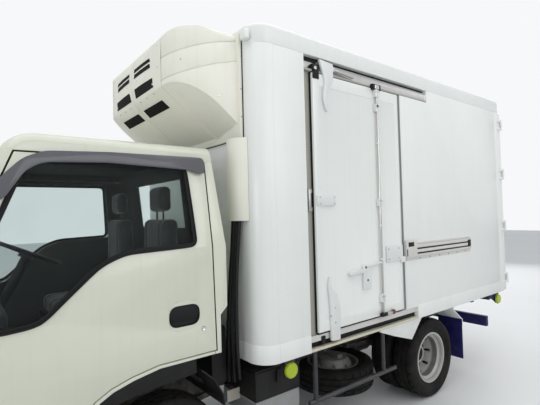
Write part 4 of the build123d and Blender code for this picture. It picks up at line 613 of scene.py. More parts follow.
def add_plate(name, points, low_y, high_y):
    """A plate with an outline seen from the side: a filled ring of points, extruded across the truck."""
    take(None)
    bpy.ops.mesh.primitive_circle_add(vertices=len(points), radius=1.0, fill_type="NGON")
    obj = settle(name)
    for corner, (x, z) in zip(obj.data.vertices, points):
        corner.co = (x, low_y, z)
    with editing(obj):
        bpy.ops.mesh.extrude_region_move(TRANSFORM_OT_translate={"value": (0.0, high_y - low_y, 0.0)})
        bpy.ops.mesh.select_all(action="SELECT")
        bpy.ops.mesh.normals_make_consistent(inside=False)
    return obj


def pick_faces(obj, test):
    """Enter edit mode and select only the faces whose middle and normal pass the test."""
    take(obj)
    bpy.ops.object.mode_set(mode="EDIT")
    bpy.ops.mesh.select_mode(type="FACE")
    bpy.ops.mesh.select_all(action="DESELECT")
    mesh = bmesh.from_edit_mesh(obj.data)
    picked = [face for face in mesh.faces if test(face.calc_center_median(), face.normal)]
    for face in picked:
        face.select_set(True)
    bmesh.update_edit_mesh(obj.data)
    return len(picked)


def sink(obj, test, border, depth):
    """Inset the picked faces by a border and push the inner face in."""
    if not pick_faces(obj, test):
        raise RuntimeError(f"{obj.name}: no face to sink")
    bpy.ops.mesh.inset(thickness=border, depth=-depth)
    bpy.ops.object.mode_set(mode="OBJECT")
    return obj


def soften(obj, width, segments=2, angle=35.0):
    """Round the hard edges and shade the curved faces smooth."""
    modify(
        obj, "BEVEL", width=width, segments=segments, limit_method="ANGLE", angle_limit=math.radians(angle),
        harden_normals=False,
    )
    bpy.ops.object.shade_smooth_by_angle(angle=math.radians(angle))
    return obj


def cut_out(obj, cutter):
    """Take the form of a second piece out of the first, and remove the second."""
    modify(obj, "BOOLEAN", operation="DIFFERENCE", object=cutter)
    bpy.data.objects.remove(cutter)
    return obj


def copy_node(node, name, flat=0.6):
    """A copy of a CAD node's mesh, its loose triangles merged into whole faces."""
    obj = bpy.data.objects.new(name, NODES[node].data.copy())
    bpy.context.scene.collection.objects.link(obj)
    obj.data.materials.clear()
    with editing(obj):
        bpy.ops.mesh.remove_doubles(threshold=0.00003)
        bpy.ops.mesh.dissolve_limited(angle_limit=math.radians(flat))
    for kind in ("sharp_edge", "custom_normal"):
        if kind in obj.data.attributes:
            obj.data.attributes.remove(obj.data.attributes[kind])
    return obj


def repeat(obj, name, shift=(0, 0, 0), across=False):
    """A copy with its own mesh, moved or mirrored across the truck."""
    twin = obj.copy()
    twin.data = obj.data.copy()
    twin.name = twin.data.name = name
    bpy.context.scene.collection.objects.link(twin)
    change = Matrix.Translation(shift)
    if across:
        change = change @ Matrix.Scale(-1, 4, (0, 1, 0))
    twin.data.transform(change)
    if across:
        take(twin)
        twin.data.flip_normals()
    return twin


def join(pieces, name):
    """Join like pieces into one object."""
    take(pieces[0])
    for piece in pieces:
        piece.select_set(True)
    if len(pieces) > 1:
        bpy.ops.object.join()
    obj = bpy.context.active_object
    obj.name = obj.data.name = name
    return obj


def add_bead(name, points, radius):
    """A closed round bead along a smooth line near a ring of points, made a mesh."""
    curve = bpy.data.curves.new(name, "CURVE")
    curve.dimensions = "3D"
    curve.bevel_depth, curve.bevel_resolution = radius, 2
    curve.resolution_u = 10
    line = curve.splines.new("NURBS")
    line.points.add(len(points) - 1)
    for point, place in zip(line.points, points):
        point.co = (*place, 1.0)
    line.order_u = 3
    line.use_cyclic_u = True
    obj = bpy.data.objects.new(name, curve)
    bpy.context.scene.collection.objects.link(obj)
    take(obj)
    bpy.ops.object.convert(target="MESH")
    obj = bpy.context.active_object
    bpy.ops.object.shade_smooth_by_angle(angle=math.radians(50))
    return obj


def turned(name, profile, steps, centre=(0, 0, 0)):
    """A closed ring of (across, radius) points spun about the axle line through the centre."""
    take(None)
    bpy.ops.mesh.primitive_circle_add(vertices=len(profile), radius=1.0)
    obj = settle(name)
    for corner, (across, radius) in zip(obj.data.vertices, profile):
        corner.co = (centre[0], centre[1] + across, centre[2] + radius)
    with editing(obj):
        bpy.ops.mesh.spin(steps=steps, angle=2 * math.pi, center=centre, axis=(0, 1, 0))
        bpy.ops.mesh.select_all(action="SELECT")
        bpy.ops.mesh.remove_doubles(threshold=0.00005)
        bpy.ops.mesh.normals_make_consistent(inside=False)
    return obj


def loose_parts(node, name):
    """A copy of a CAD node split into its separate solids."""
    with editing(copy_node(node, name)):
        bpy.ops.mesh.separate(type="LOOSE")
    return list(bpy.context.selected_objects)


def spread_of(obj):
    """Low corner, high corner and middle of a piece."""
    corners = [vertex.co for vertex in obj.data.vertices]
    low = [min(corner[axis] for corner in corners) for axis in range(3)]
    high = [max(corner[axis] for corner in corners) for axis in range(3)]
    return low, high, [(a + b) / 2 for a, b in zip(low, high)]


def split_node(node, rules, width):
    """Give each solid of a node the first finish whose rule fits it, and join those alike."""
    groups = {}
    for part in loose_parts(node, f"{node}_part"):
        low, high, middle = spread_of(part)
        finish = next(finish for finish, rule in rules if rule(low, high, middle))
        groups.setdefault(finish, []).append(part)
    for finish, parts in groups.items():
        group(parts, f"{node}_{finish}", width, NODES[node]["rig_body"], finish, node)


def keep_faces(obj, test):
    """Delete the faces that fail the test."""
    pick_faces(obj, lambda place, normal: not test(place, normal))
    bpy.ops.mesh.delete(type="FACE")
    bpy.ops.object.mode_set(mode="OBJECT")
    return obj


def lining(node, name, inside, thickness=0.003):
    """A trim that covers the faces of a node that look into the cab."""
    return modify(keep_faces(copy_node(node, name), inside), "SOLIDIFY", thickness=thickness, offset=1.0)


def meet(obj, start, aim):
    """Place and normal where a straight line from the start first meets a piece."""
    hit, place, normal, _ = obj.ray_cast(Vector(start), Vector(aim))
    if not hit:
        raise RuntimeError(f"{obj.name}: nothing at {start}")
    return place, normal


def screw_on(obj, start, aim, radius=0.006, height=0.0025):
    """A round screw head on the surface of a piece, where a straight line from the start meets it."""
    place, normal = meet(obj, start, aim)
    return add_rod("screw", place - normal * 0.001, place + normal * height, radius, 12, radius * 0.7)


def rounded_outline(points, radius, steps=4):
    """An outline with each corner turned into a short arc."""
    result = []
    count = len(points)
    for i in range(count):
        before, corner, after = Vector(points[i - 1]), Vector(points[i]), Vector(points[(i + 1) % count])
        back, ahead = before - corner, after - corner
        reach = min(radius, 0.45 * back.length, 0.45 * ahead.length)
        first, last = corner + back.normalized() * reach, corner + ahead.normalized() * reach
        for k in range(steps + 1):
            share = k / steps
            point = first * (1 - share) ** 2 + corner * 2 * share * (1 - share) + last * share ** 2
            result.append(point[:])
    return result


def lean(obj, belt=1.5, slope=0.12):
    """Lean a piece in above the belt line, as the cab's sides do."""
    for vertex in obj.data.vertices:
        side = 1 if vertex.co.y > 0 else -1
        vertex.co.y -= side * max(0.0, vertex.co.z - belt) * slope
    return obj


def add_band(name, points, low_y, high_y, width):
    """A flat ring along an outline: a plate whose middle is taken out."""
    obj = add_plate(name, points, low_y, high_y)
    pick_faces(obj, lambda place, normal: abs(normal.y) > 0.9)
    bpy.ops.mesh.inset(thickness=width, depth=0.0)
    bpy.ops.mesh.bridge_edge_loops()
    bpy.ops.object.mode_set(mode="OBJECT")
    return obj


def dress(obj, body, finish, *nodes):
    """Give a piece its finish and slot, its body, and the CAD nodes that it stands for."""
    obj.data.materials.clear()
    obj.data.materials.append(FINISHES[finish])
    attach(obj, body)
    if nodes:
        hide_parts(*nodes)
    return obj


def group(parts, name, width, body, finish, *nodes):
    """Join like parts, round their edges and dress them as one piece."""
    return dress(soften(join(parts, name), width), body, finish, *nodes)


def dress_pair(pieces, family):
    """Dress each left piece, and a mirrored copy of it, on the left and right bodies of a family."""
    for hand in ("right", "left"):
        for piece, finish in pieces:
            name = piece.name.replace("left", hand)
            twin = repeat(piece, name, across=True) if hand == "right" else piece
            dress(twin, f"{family}_{hand}", finish)


def both_sides(piece, name):
    """A left piece joined with its mirror image."""
    return join([piece, repeat(piece, f"{piece.name}_right", across=True)], name)


class TRUCK_OT_finishes(bpy.types.Operator):
    """Build the finishes and give one to each CAD node"""

    bl_idname = "truck.finishes"
    bl_label = "Finishes"

    def execute(self, context):
        build_finishes(context.scene.truck_colours)
        for name, obj in NODES.items():
            give(obj, NODE_FINISH[name])
        return {"FINISHED"}


# CAD nodes that keep their form but get rounded edges: node, width of the rounding in metres
ROUNDED_NODES = {
    "box_front_wall": 0.002, "box_left_wall": 0.002, "box_right_wall": 0.002, "box_roof": 0.003,
    "box_rear_frame": 0.003, "side_door": 0.003,
    "cooling_unit": 0.006, "hose_duct": 0.0012, "rear_door_left": 0.004, "rear_door_right": 0.004,
    "front_bumper": 0.006, "cab_roof": 0.004, "cab_back_panel": 0.003, "cab_floor": 0.004,
    "cab_front_panel": 0.004, "door_left": 0.003, "door_right": 0.003, "rear_wings": 0.003,
    "fuel_tank": 0.003, "frame_rails": 0.002,
    "body_bearers": 0.003, "air_cleaner": 0.006, "arch_liners": 0.004, "seat_bases": 0.006,
    "dashboard": 0.012, "engine_block": 0.012, "silencer": 0.004, "axles": 0.006,
    "rear_lamps": 0.006, "mirrors": 0.008,
}


class TRUCK_OT_rounded(bpy.types.Operator):
    """Round the edges of the panels and rigid parts"""

    bl_idname = "truck.rounded"
    bl_label = "Rounded panels"

    def execute(self, context):
        for node, width in ROUNDED_NODES.items():
            piece = soften(copy_node(node, f"{node}_panel"), width)
            dress(piece, NODES[node]["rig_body"], NODE_FINISH[node], node)
        return {"FINISHED"}


# Outlines of the left door's window rubber and rain visor, in X and Z
WINDOW_LINE = (
    (1.351, 1.958), (1.315, 1.510), (1.710, 1.497), (1.830, 1.449), (1.984, 1.310), (2.085, 1.215),
    (2.232, 1.202), (2.345, 1.210), (2.345, 1.440), (2.150, 1.920), (2.086, 1.958),
)
VISOR_LINE = (
    (1.246, 2.013), (1.776, 2.008), (2.060, 1.994), (2.146, 1.955), (2.235, 1.861), (2.250, 1.760),
    (2.215, 1.775), (2.135, 1.900), (2.066, 1.940), (1.788, 1.953), (1.340, 1.938), (1.290, 1.920),
    (1.246, 1.920),
)
WINDOW_CORNER = 0.05


def window_rubber():
    """The left door's black surround: a flat band and a round bead along its edge."""
    edge = rounded_outline(WINDOW_LINE, WINDOW_CORNER)
    band = soften(lean(add_band("window_rubber_left", edge, 0.8405, 0.8510, 0.020)), 0.003)
    ring = [(x, 0.8505, z) for x, z in rounded_outline(WINDOW_LINE, WINDOW_CORNER, 3)]
    return join([band, lean(add_bead("window_bead_left", ring, 0.005))], "window_rubber_left")


def rain_visor():
    """The left door's smoked visor: a thin shell, open towards the glass."""
    visor = add_plate("rain_visor_left", rounded_outline(VISOR_LINE, 0.030, 3), 0.8510, 0.8755)
    sink(visor, facing(1, -1), 0.003, 0.021)
    return lean(soften(visor, 0.004))


def glass_pane(node):
    """The pane alone from a door's glass, which also holds its visor."""
    parts = loose_parts(node, f"{node}_part")
    pane = next(part for part in parts if spread_of(part)[0][2] < 1.4)
    for part in parts:
        if part is not pane:
            bpy.data.objects.remove(part)
    pane.name = pane.data.name = f"{node}_pane"
    return dress(pane, NODES[node]["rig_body"], "glass", node)


class TRUCK_OT_windows(bpy.types.Operator):
    """Panes, rain visors and black rubber surrounds of the cab doors"""

    bl_idname = "truck.windows"
    bl_label = "Door windows"

    def execute(self, context):
        for hand in ("right", "left"):
            glass_pane(f"door_glass_{hand}")
        dress_pair(((window_rubber(), "gasket"), (rain_visor(), "smoke")), "door")
        return {"FINISHED"}


DOOR_SKIN = 0.8475


def oval(name, low, high, radius, inner, outer):
    """A round-cornered plate in the left door: corners in X and Z, and depths from the door's skin."""
    corners = [low, (high[0], low[1]), high, (low[0], high[1])]
    return add_plate(name, rounded_outline(corners, radius, 6), DOOR_SKIN + inner, DOOR_SKIN + outer)


class TRUCK_OT_door_handles(bpy.types.Operator):
    """Black cups, flaps and locks of the cab doors"""

    bl_idname = "truck.door_handles"
    bl_label = "Door handles"

    def execute(self, context):
        cup_low, cup_high, cup_corner = (1.3105, 1.0820), (1.4905, 1.1960), 0.056
        filler = oval("handle_filler_left", (1.3088, 1.0588), (1.4922, 1.2182), 0.070, -0.0235, 0.0001)
        cut_out(filler, oval("cutter", cup_low, cup_high, cup_corner, -0.030, 0.010))
        cup = oval("handle_cup", cup_low, cup_high, cup_corner, -0.0235, 0.003)
        soften(sink(cup, FACES_LEFT, 0.007, 0.018), 0.002)
        flap = oval("handle_flap", (1.3125, 1.114), (1.4885, 1.192), 0.050, -0.020, -0.002)
        soften(sink(flap, facing(2, -1), 0.004, 0.006), 0.004)
        handle = join([cup, flap], "door_handle_left")
        lock = peg("door_lock_left", 1.288, 1.050, DOOR_SKIN - 0.004, DOOR_SKIN + 0.004, 0.013, 32)
        sink(lock, FACES_LEFT, 0.004, 0.002)

        def keyhole(place, normal):
            return normal.y > 0.9 and abs(place.y - DOOR_SKIN - 0.002) < 0.0005

        soften(sink(lock, keyhole, 0.005, 0.003), 0.0008)
        dress_pair(((handle, "plastic"), (lock, "plated"), (filler, "cab")), "door")
        return {"FINISHED"}


CAB_MIDDLE = Vector((1.75, 0.0, 1.45))


def looks_in(place, normal):
    """A test for the faces that look towards the cab's middle."""
    towards = normal.dot(CAB_MIDDLE - place) > 0.0
    return towards and abs(place.y) < 0.812 and 1.165 < place.x < 2.52


def clear_of_doors(place, normal):
    """The same test, kept off the edges that the doors swing past."""
    return looks_in(place, normal) and abs(place.y) < 0.77


class TRUCK_OT_cab_trim(bpy.types.Operator):
    """Grey linings inside the cab and its doors"""

    bl_idname = "truck.cab_trim"
    bl_label = "Cab linings"

    def execute(self, context):
        for node in ("cab_roof", "cab_back_panel", "cab_floor", "door_left", "door_right"):
            group([lining(node, "lining", looks_in)], f"{node}_lining", 0.001, NODES[node]["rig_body"], "trim")
        thin = lining("cab_front_panel", "lining", clear_of_doors, 0.0006)
        group([thin], "cab_front_panel_lining", 0.0002, "cab", "trim")
        return {"FINISHED"}


# Gear on the side door: outline as (millimetres behind its front edge, height), depth out from the leaf
DOOR_GEAR = (
    ("upper_arm", 16, (
        (57, 2738), (194, 2728), (192, 2609), (150, 2560), (130, 2500), (126, 2440), (140, 2390), (120, 2382),
        (96, 2440), (90, 2490), (101, 2545), (109, 2602),
    )),
    ("lower_arm", 16, (
        (112, 1238), (101, 1238), (88, 1170), (90, 1140), (97, 1100), (103, 1010), (103, 800), (188, 792),
        (197, 1010), (169, 1110), (130, 1142), (108, 1175),
    )),
    ("lock_plate", 14, ((462, 1096), (548, 1096), (548, 1282), (462, 1282))),
    ("link_bar", 22, ((492, 1262), (707, 1278), (707, 1292), (492, 1276))),
    ("lever", 30, ((300, 1230), (309, 1222), (462, 1226), (470, 1254), (309, 1250))),
    ("catch_plate", 12, ((5, 1725), (188, 1725), (188, 1799), (5, 1799))),
    ("hinge_box", 10, ((757, 1271), (975, 1271), (975, 1400), (757, 1400))),
    ("hinge_pad", 16, ((940, 1255), (1004, 1255), (1004, 1302), (940, 1302))),
)
DOOR_FRONT = 0.460
LEAF_SKIN = 0.9222
ROD_X, ROD_Y = -0.222, 0.941
CLAMP_HEIGHTS = (1.005, 1.745, 2.485, 2.600)


def door_gear():
    """The white gear of the side door, one plate for each outline, and the clamps of the lock rod."""
    parts = []
    for name, depth, points in DOOR_GEAR:
        outline = rounded_outline([(DOOR_FRONT - back / 1000, z / 1000) for back, z in points], 0.008, 2)
        parts.append(soften(add_plate(name, outline, LEAF_SKIN, 0.925 + depth / 1000), 0.003))
    for z in CLAMP_HEIGHTS:
        clamp = add_block("clamp", (-0.247, LEAF_SKIN, z - 0.029), (-0.197, 0.9500, z + 0.029))
        parts.append(soften(sink(clamp, FACES_LEFT, 0.008, 0.003), 0.004))
    for z in (1.030, 1.300, 1.560, 2.200):
        collar = add_rod("collar", (ROD_X, ROD_Y, z), (ROD_X, ROD_Y, z + 0.012), 0.0125, 20)
        parts.append(soften(collar, 0.001))
    return join(parts, "side_door_arms")


def door_seals():
    """Black gaskets and shadows round the leaf, and the grey seal at its rear edge."""
    black = [
        add_block("front_gasket", (0.4603, 0.8925, 0.872), (0.4660, 0.9080, 2.640)),
        add_block("top_gasket", (-0.512, 0.885, 2.641), (0.460, 0.9150, 2.6475)),
        add_block("bottom_gasket", (-0.512, 0.885, 0.8555), (0.460, 0.9150, 0.8685)),
        # The slot_back and step_back sheets are black where the top track's slot and the step are only in
        # shade: painted shadow.
        add_block("slot_back", (-0.972, 0.8803, 2.726), (0.529, 0.8850, 2.7555)),
        add_block("step_back", (-0.725, 0.8803, 0.7725), (0.529, 0.8850, 0.8115)),
        add_block("roller_block", (0.398, 0.8860, 2.600), (0.459, 0.9290, 2.700)),
        add_block("low_roller", (0.395, 0.8860, 0.7900), (0.430, 0.9180, 0.8400)),
        # The catch_slot is black where the catch's slot is only in shade: painted shadow.
        add_block("catch_slot", (0.4760, 0.8925, 1.7150), (0.4830, 0.9095, 1.8150)),
    ]
    group(black, "side_door_rubber", 0.0035, "chassis", "gasket")
    grey = [
        add_block("rear_gasket", (-0.549, 0.8870, 0.862), (-0.5165, 0.9120, 2.640)),
        add_block("rear_lip", (-0.559, 0.8870, 0.862), (-0.5520, 0.9180, 2.640)),
        add_block("rear_flap", (-0.5160, 0.9205, 0.872), (-0.4960, 0.9245, 2.638)),
    ]
    group(grey, "side_door_rear_seal", 0.004, "chassis", "seal")


def door_track():
    """The top track's plate, rod, hub and roller, and the catch on the front jamb."""
    plate = add_block("track_plate", (-0.974, 0.8860, 2.6625), (0.400, 0.9140, 2.7260))
    parts = (
        sink(plate, FACES_LEFT, 0.009, 0.006),
        add_rod("track_rod", (0.262, 0.9215, 2.7000), (0.030, 0.9215, 2.6780), 0.0075, 16),
        peg("track_hub", 0.246, 2.6980, 0.9100, 0.9300, 0.016, 24),
        peg("roller", 0.440, 2.6700, 0.9290, 0.9400, 0.013, 24),
        add_block("jamb_catch", (0.4735, 0.8922, 1.6900), (0.5060, 0.9060, 1.8400)),
    )
    dress(join([soften(part, 0.0015) for part in parts], "side_door_track"), "chassis", "rail")


def mid_rail():
    """Flanges, grooves, stop and screws of the rail behind the leaf, and the foot step."""
    flanges = [
        add_block("step_plate", (-0.725, 0.9062, 0.8135), (0.529, 0.9085, 0.8545)),
        add_block("mid_rail_low", (-1.687, 0.9195, 1.254), (-0.703, 0.9235, 1.2805)),
        add_block("mid_rail_high", (-1.687, 0.9195, 1.3855), (-0.703, 0.9235, 1.402)),
        add_block("box_step", (-0.700, 0.9195, 1.260), (-0.560, 0.9330, 1.2855)),
    ]
    group(flanges, "mid_rail_flanges", 0.0015, "chassis", "pale")
    dark = [
        # The dark groove strips and the box_slot are painted shade of the rail's grooves and the box's slot.
        add_block("groove_low", (-1.677, 0.9270, 1.3035), (-0.714, 0.9292, 1.3165)),
        add_block("groove_high", (-1.677, 0.9270, 1.3435), (-0.714, 0.9292, 1.3565)),
        add_block("rail_stop", (-1.675, 0.9270, 1.3120), (-1.620, 0.9380, 1.3720)),
        add_block("box_window", (-0.655, 0.9400, 1.3750), (-0.572, 0.9508, 1.4120)),
        add_block("box_slot", (-0.563, 0.9400, 1.2980), (-0.5495, 0.9508, 1.3560)),
    ]
    for x in (-0.78, -0.94, -1.10, -1.26, -1.42, -1.58):
        dark.append(peg("flange_screw", x, 1.2665, 0.9230, 0.9250, 0.0055, 12))
    group(dark, "mid_rail_dark", 0.001, "chassis", "plastic")


class TRUCK_OT_side_door(bpy.types.Operator):
    """Jambs, gaskets, tracks, rollers and gear of the side door"""

    bl_idname = "truck.side_door"
    bl_label = "Side door gear"

    def execute(self, context):
        dress(door_gear(), "chassis", "gear", "side_door_gear")
        rod = add_rod("lock_rod", (ROD_X, ROD_Y, 0.876), (ROD_X, ROD_Y, 2.640), 0.0085, 20)
        dress(soften(rod, 0.001), "chassis", "plated")
        split_node(
            "side_door_surround",
            (
                ("jamb", lambda low, high, middle: high[2] - low[2] > 1.0),
                ("cream", lambda low, high, middle: high[2] < 0.775),
                ("gear", lambda low, high, middle: low[0] > -0.71 and 1.2 < low[2] < 1.4),
                ("pale", lambda low, high, middle: True),
            ),
            0.0015,
        )
        door_seals()
        door_track()
        mid_rail()
        return {"FINISHED"}


# Bolts on the side door's gear: inner and outer Y, radius, and their places in X and Z
BOLTS = (
    (0.944, 0.9505, 0.0055, [(x, z + 0.014) for z in CLAMP_HEIGHTS for x in (-0.206, -0.238)]),
    (0.930, 0.9405, 0.006, [(x, z) for x in (0.290, 0.430) for z in (1.785, 1.740)]),
    (0.930, 0.9385, 0.006, [(x, z) for x in (-0.320, -0.455) for z in (1.375, 1.295)]),
    (0.936, 0.9445, 0.006, [(0.318, 1.020), (0.318, 0.920), (0.360, 0.970)]),
)


class TRUCK_OT_latches(bpy.types.Operator):
    """Bolts, holes, roller bracket and foot latch on the side door"""

    bl_idname = "truck.latches"
    bl_label = "Side door latches"

    def execute(self, context):
        bolts = []
        for inner, outer, radius, places in BOLTS:
            bolts += [peg("bolt", x, z, inner, outer, radius, 6) for x, z in places]
        group(bolts, "side_door_bolts", 0.0008, "chassis", "plated")
        latch = [
            add_block("latch_bar", (-0.335, 0.9255, 0.868), (-0.262, 0.9480, 0.888)),
            add_block("bracket_plate", (-0.248, 0.9460, 2.634), (-0.196, 0.9500, 2.666)),
        ]
        group(latch, "foot_latch", 0.002, "chassis", "plated")
        dark = [
            # Dark discs stand for the holes in the gear: painted shade of their depth.
            peg("hole", -0.218, 2.500, 0.940, 0.9514, 0.010),
            peg("lock_hole", -0.048, 1.165, 0.930, 0.9400, 0.009),
            peg("pivot_hole", -0.030, 1.262, 0.930, 0.9400, 0.010),
            add_block("bracket", (-0.272, 0.917, 2.628), (-0.172, 0.9460, 2.672)),
            add_block("latch_black", (-0.262, 0.9255, 0.866), (-0.196, 0.9530, 0.892)),
        ]
        group(dark, "side_door_dark", 0.002, "chassis", "plastic")
        knob = peg("latch_knob", -0.350, 0.880, 0.930, 0.9500, 0.019, 24)
        dress(soften(knob, 0.005), "chassis", "knob")
        return {"FINISHED"}


# Slots in the cooling unit's nose, on its left half: spans along Y and Z, and reach from the body's wall
NOSE_SLOTS = (
    ((0.0505, 0.3495), (2.5325, 2.5755), 0.4215),
    ((0.0505, 0.2995), (2.6765, 2.6915), 0.4315),
    ((0.0505, 0.2995), (2.7125, 2.7275), 0.4315),
)
# The slot in its belly: reach from the wall, and height
BELLY_SLOT = ((0.306, 2.4085), (0.306, 2.4395), (0.362, 2.4395), (0.326, 2.4085))
# Dark sheets over the slots, for the black grille behind them and for painted shade of their depth: spans
# along Y and Z
SLOT_SHEETS = (
    ((0.048, 0.366), (2.526, 2.588)), ((0.050, 0.330), (2.6655, 2.6930)),
    ((0.050, 0.330), (2.7060, 2.7285)), ((0.048, 0.390), (2.400, 2.4445)),
)
NOSE_SCREWS = ((0.10, 2.490), (0.22, 2.490), (0.34, 2.490), (0.43, 2.640), (0.10, 2.640), (0.43, 2.780))


def slot_cover(shell, across, heights, stations=8, proud=0.0008):
    """A dark sheet that lies on the curved nose over one of its slots: the black grille, and painted shade of
    the slot's depth.
    """
    take(None)
    bpy.ops.mesh.primitive_grid_add(x_subdivisions=stations, y_subdivisions=1, size=2.0)
    sheet = settle("slot_cover")
    for corner in sheet.data.vertices:
        share, top = (corner.co.x + 1) / 2, corner.co.y > 0
        slant = 0.008 if top else 0.0
        y = across[0] + (across[1] - across[0]) * share
        y += math.copysign(slant, y) * (0.5 - share) * 2
        place, _ = meet(shell, (3.0, y, heights[1] if top else heights[0]), (-1, 0, 0))
        corner.co = place + Vector((proud, 0.0, 0.0))
    with editing(sheet):
        bpy.ops.mesh.normals_make_consistent(inside=False)
    return modify(sheet, "SOLIDIFY", thickness=0.003, offset=0.0)


def unit_screws(shell, side):
    """Screws on one half of the unit: its rear flange, its nose and its side."""
    flank = [(0.014, 0.85, z) for z in (2.300, 2.480, 2.690)]
    end = [(0.36, 0.9, 2.640), (0.16, 0.9, 2.420)]
    heads = [screw_on(shell, (WALL_FRONT + out, side * y, z), (0, -side, 0)) for out, y, z in flank]
    heads += [screw_on(shell, (WALL_FRONT + 0.6, side * y, z), (-1, 0, 0)) for y, z in NOSE_SCREWS]
    heads += [screw_on(shell, (WALL_FRONT + out, side * y, z), (0, -side, 0)) for out, y, z in end]
    return heads


class TRUCK_OT_unit_details(bpy.types.Operator):
    """Dark slots, seal and screws of the cooling unit"""

    bl_idname = "truck.unit_details"
    bl_label = "Cooling unit details"

    def execute(self, context):
        shell = bpy.data.objects["cooling_unit_panel"]
        low, high = (WALL_FRONT + 0.0003, -0.779, 2.1615), (WALL_FRONT + 0.006, 0.779, 2.8465)
        dark, sheets, screws = [add_block("unit_seal", low, high)], [], []
        for side in SIDES:
            # Dark blocks fill each nose slot and the belly slot: the black grille, and painted shade of the
            # slot's depth.
            for y, z, out in NOSE_SLOTS:
                dark.append(side_block("slot", side, (WALL_FRONT + 0.4015, WALL_FRONT + out), y, z))
            outline = [(WALL_FRONT + out, z) for out, z in BELLY_SLOT]
            dark.append(add_plate("belly_slot", outline, *span(side, 0.0505, 0.3095)))
            for y, z in SLOT_SHEETS:
                sheets.append(slot_cover(shell, (side * y[0], side * y[1]), z))
            screws += unit_screws(shell, side)
        group(dark, "unit_dark", 0.0012, "chassis", "mesh")
        dress(join(sheets, "unit_slots"), "chassis", "mesh")
        dress(join(screws, "unit_screws"), "chassis", "plated")
        return {"FINISHED"}


def tyre_outline():
    """Section of a tyre: beads, plain walls, shoulders and three grooves in the tread."""
    half = [
        (0.070, 0.2045), (0.0745, 0.214), (0.0765, 0.2225), (0.088, 0.238), (0.097, 0.262),
        (0.1005, 0.268), (0.1022, 0.283), (0.1015, 0.300), (0.0985, 0.316), (0.0950, 0.3235),
        (0.0905, 0.3325), (0.0800, 0.3400), (0.0640, 0.3440), (0.0500, 0.3447), (0.0480, 0.3370),
        (0.0430, 0.3370), (0.0410, 0.3448), (0.0070, 0.3449), (0.0050, 0.3370),
    ]
    return half + [(-across, radius) for across, radius in reversed(half)]


# Cross cuts of the tread, in degrees round the tyre
CUT_PITCH, CUT_WIDTH = 12.0, 3.0

# Middle of the spare tyre, which lies flat
SPARE_PLACE = (-0.205, 0.400, 0.312)


def cut_turn(place, start=0.0):
    """How far a place is past the last cut, in degrees round the tyre."""
    return (math.degrees(math.atan2(place.z, place.x)) + start) % CUT_PITCH


def shoulder_cut(place, normal):
    """A test for the tread's faces in the cuts of its shoulders."""
    outside = math.hypot(place.x, place.z) > 0.338 and abs(place.y) > 0.052
    return outside and cut_turn(place) < CUT_WIDTH


def middle_cut(place, normal):
    """A test for the tread's faces in the cuts between its grooves, half a pitch further on."""
    inside = math.hypot(place.x, place.z) > 0.340 and 0.01 < abs(place.y) < 0.04
    return inside and cut_turn(place, CUT_PITCH / 2) < CUT_WIDTH


class TRUCK_OT_tyres(bpy.types.Operator):
    """Seven tyres from one: grooved tread with cross cuts and a moulded sidewall"""

    bl_idname = "truck.tyres"
    bl_label = "Tyres"

    def execute(self, context):
        tyre = turned("tyre", tyre_outline(), 120)
        sink(tyre, shoulder_cut, 0.0006, 0.006)
        sink(tyre, middle_cut, 0.002, 0.004)
        take(tyre)
        bpy.ops.object.shade_smooth_by_angle(angle=math.radians(28))
        places = {
            "front_tyre_left": ((FRONT_AXLE, 0.700),), "front_tyre_right": ((FRONT_AXLE, -0.700),),
            "rear_tyres_left": ((REAR_AXLE, 0.780), (REAR_AXLE, 0.545)),
            "rear_tyres_right": ((REAR_AXLE, -0.780), (REAR_AXLE, -0.545)),
        }
        for node, spots in places.items():
            copies = [repeat(tyre, "tyre_copy", (x, y, AXLE_HEIGHT)) for x, y in spots]
            dress(join(copies, f"{node}_tread"), NODES[node]["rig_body"], "tyre", node)
        flat = repeat(tyre, "spare_tyre_tread")
        flat.data.transform(Matrix.Translation(SPARE_PLACE) @ Matrix.Rotation(math.pi / 2, 4, "X"))
        dress(flat, "chassis", "tyre", "spare_tyre")
        bpy.data.objects.remove(tyre)
        return {"FINISHED"}


def wheel_nuts(x, face, side, count=6, ring=0.105):
    """Nuts, their seats and studs in a ring on a wheel's disc."""
    parts = []
    for i in range(count):
        turn = math.radians(360 / count * i + 15)
        nut_x, nut_z = x + ring * math.cos(turn), AXLE_HEIGHT + ring * math.sin(turn)

        def bar(name, inner, outer, radius, sides, end_radius):
            ends = [(nut_x, face + side * out, nut_z) for out in (inner, outer)]
            return add_rod(name, *ends, radius, sides, end_radius)

        parts.append(soften(bar("nut", 0.0, 0.022, 0.0165, 6, 0.0165), 0.0015))
        parts.append(bar("nut_seat", -0.001, 0.005, 0.021, 20, 0.018))
        parts.append(bar("stud", 0.020, 0.030, 0.0085, 12, 0.007))
    return parts


def hub_cap(name, x, face, side, depth):
    """The dark cap in the middle of a wheel: a turned cup."""
    profile = [
        (0.0, 0.0), (0.0, 0.080), (side * 0.010, 0.080), (side * 0.014, 0.074),
        (side * (depth - 0.008), 0.070), (side * depth, 0.060), (side * (depth + 0.001), 0.030),
        (side * (depth + 0.001), 0.0),
    ]
    return turned(name, profile, 48, (x, face, AXLE_HEIGHT))


class TRUCK_OT_hubs(bpy.types.Operator):
    """Wheel nuts, studs and dark hubs"""

    bl_idname = "truck.hubs"
    bl_label = "Wheel hubs"

    def execute(self, context):
        wheels = (("front_rim", FRONT_AXLE, 0.817, 0.029), ("rear_rims", REAR_AXLE, 0.673, 0.066))
        for family, x, out, depth in wheels:
            for hand, side in (("left", 1), ("right", -1)):
                node = f"{family}_{hand}"
                body = NODES[node]["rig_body"]
                dress(join(wheel_nuts(x, side * out, side), f"{node}_nuts"), body, "tank")
                cap = hub_cap(f"{node}_cap", x, side * out, side, depth)
                dress(soften(cap, 0.002), body, "plastic")
        return {"FINISHED"}


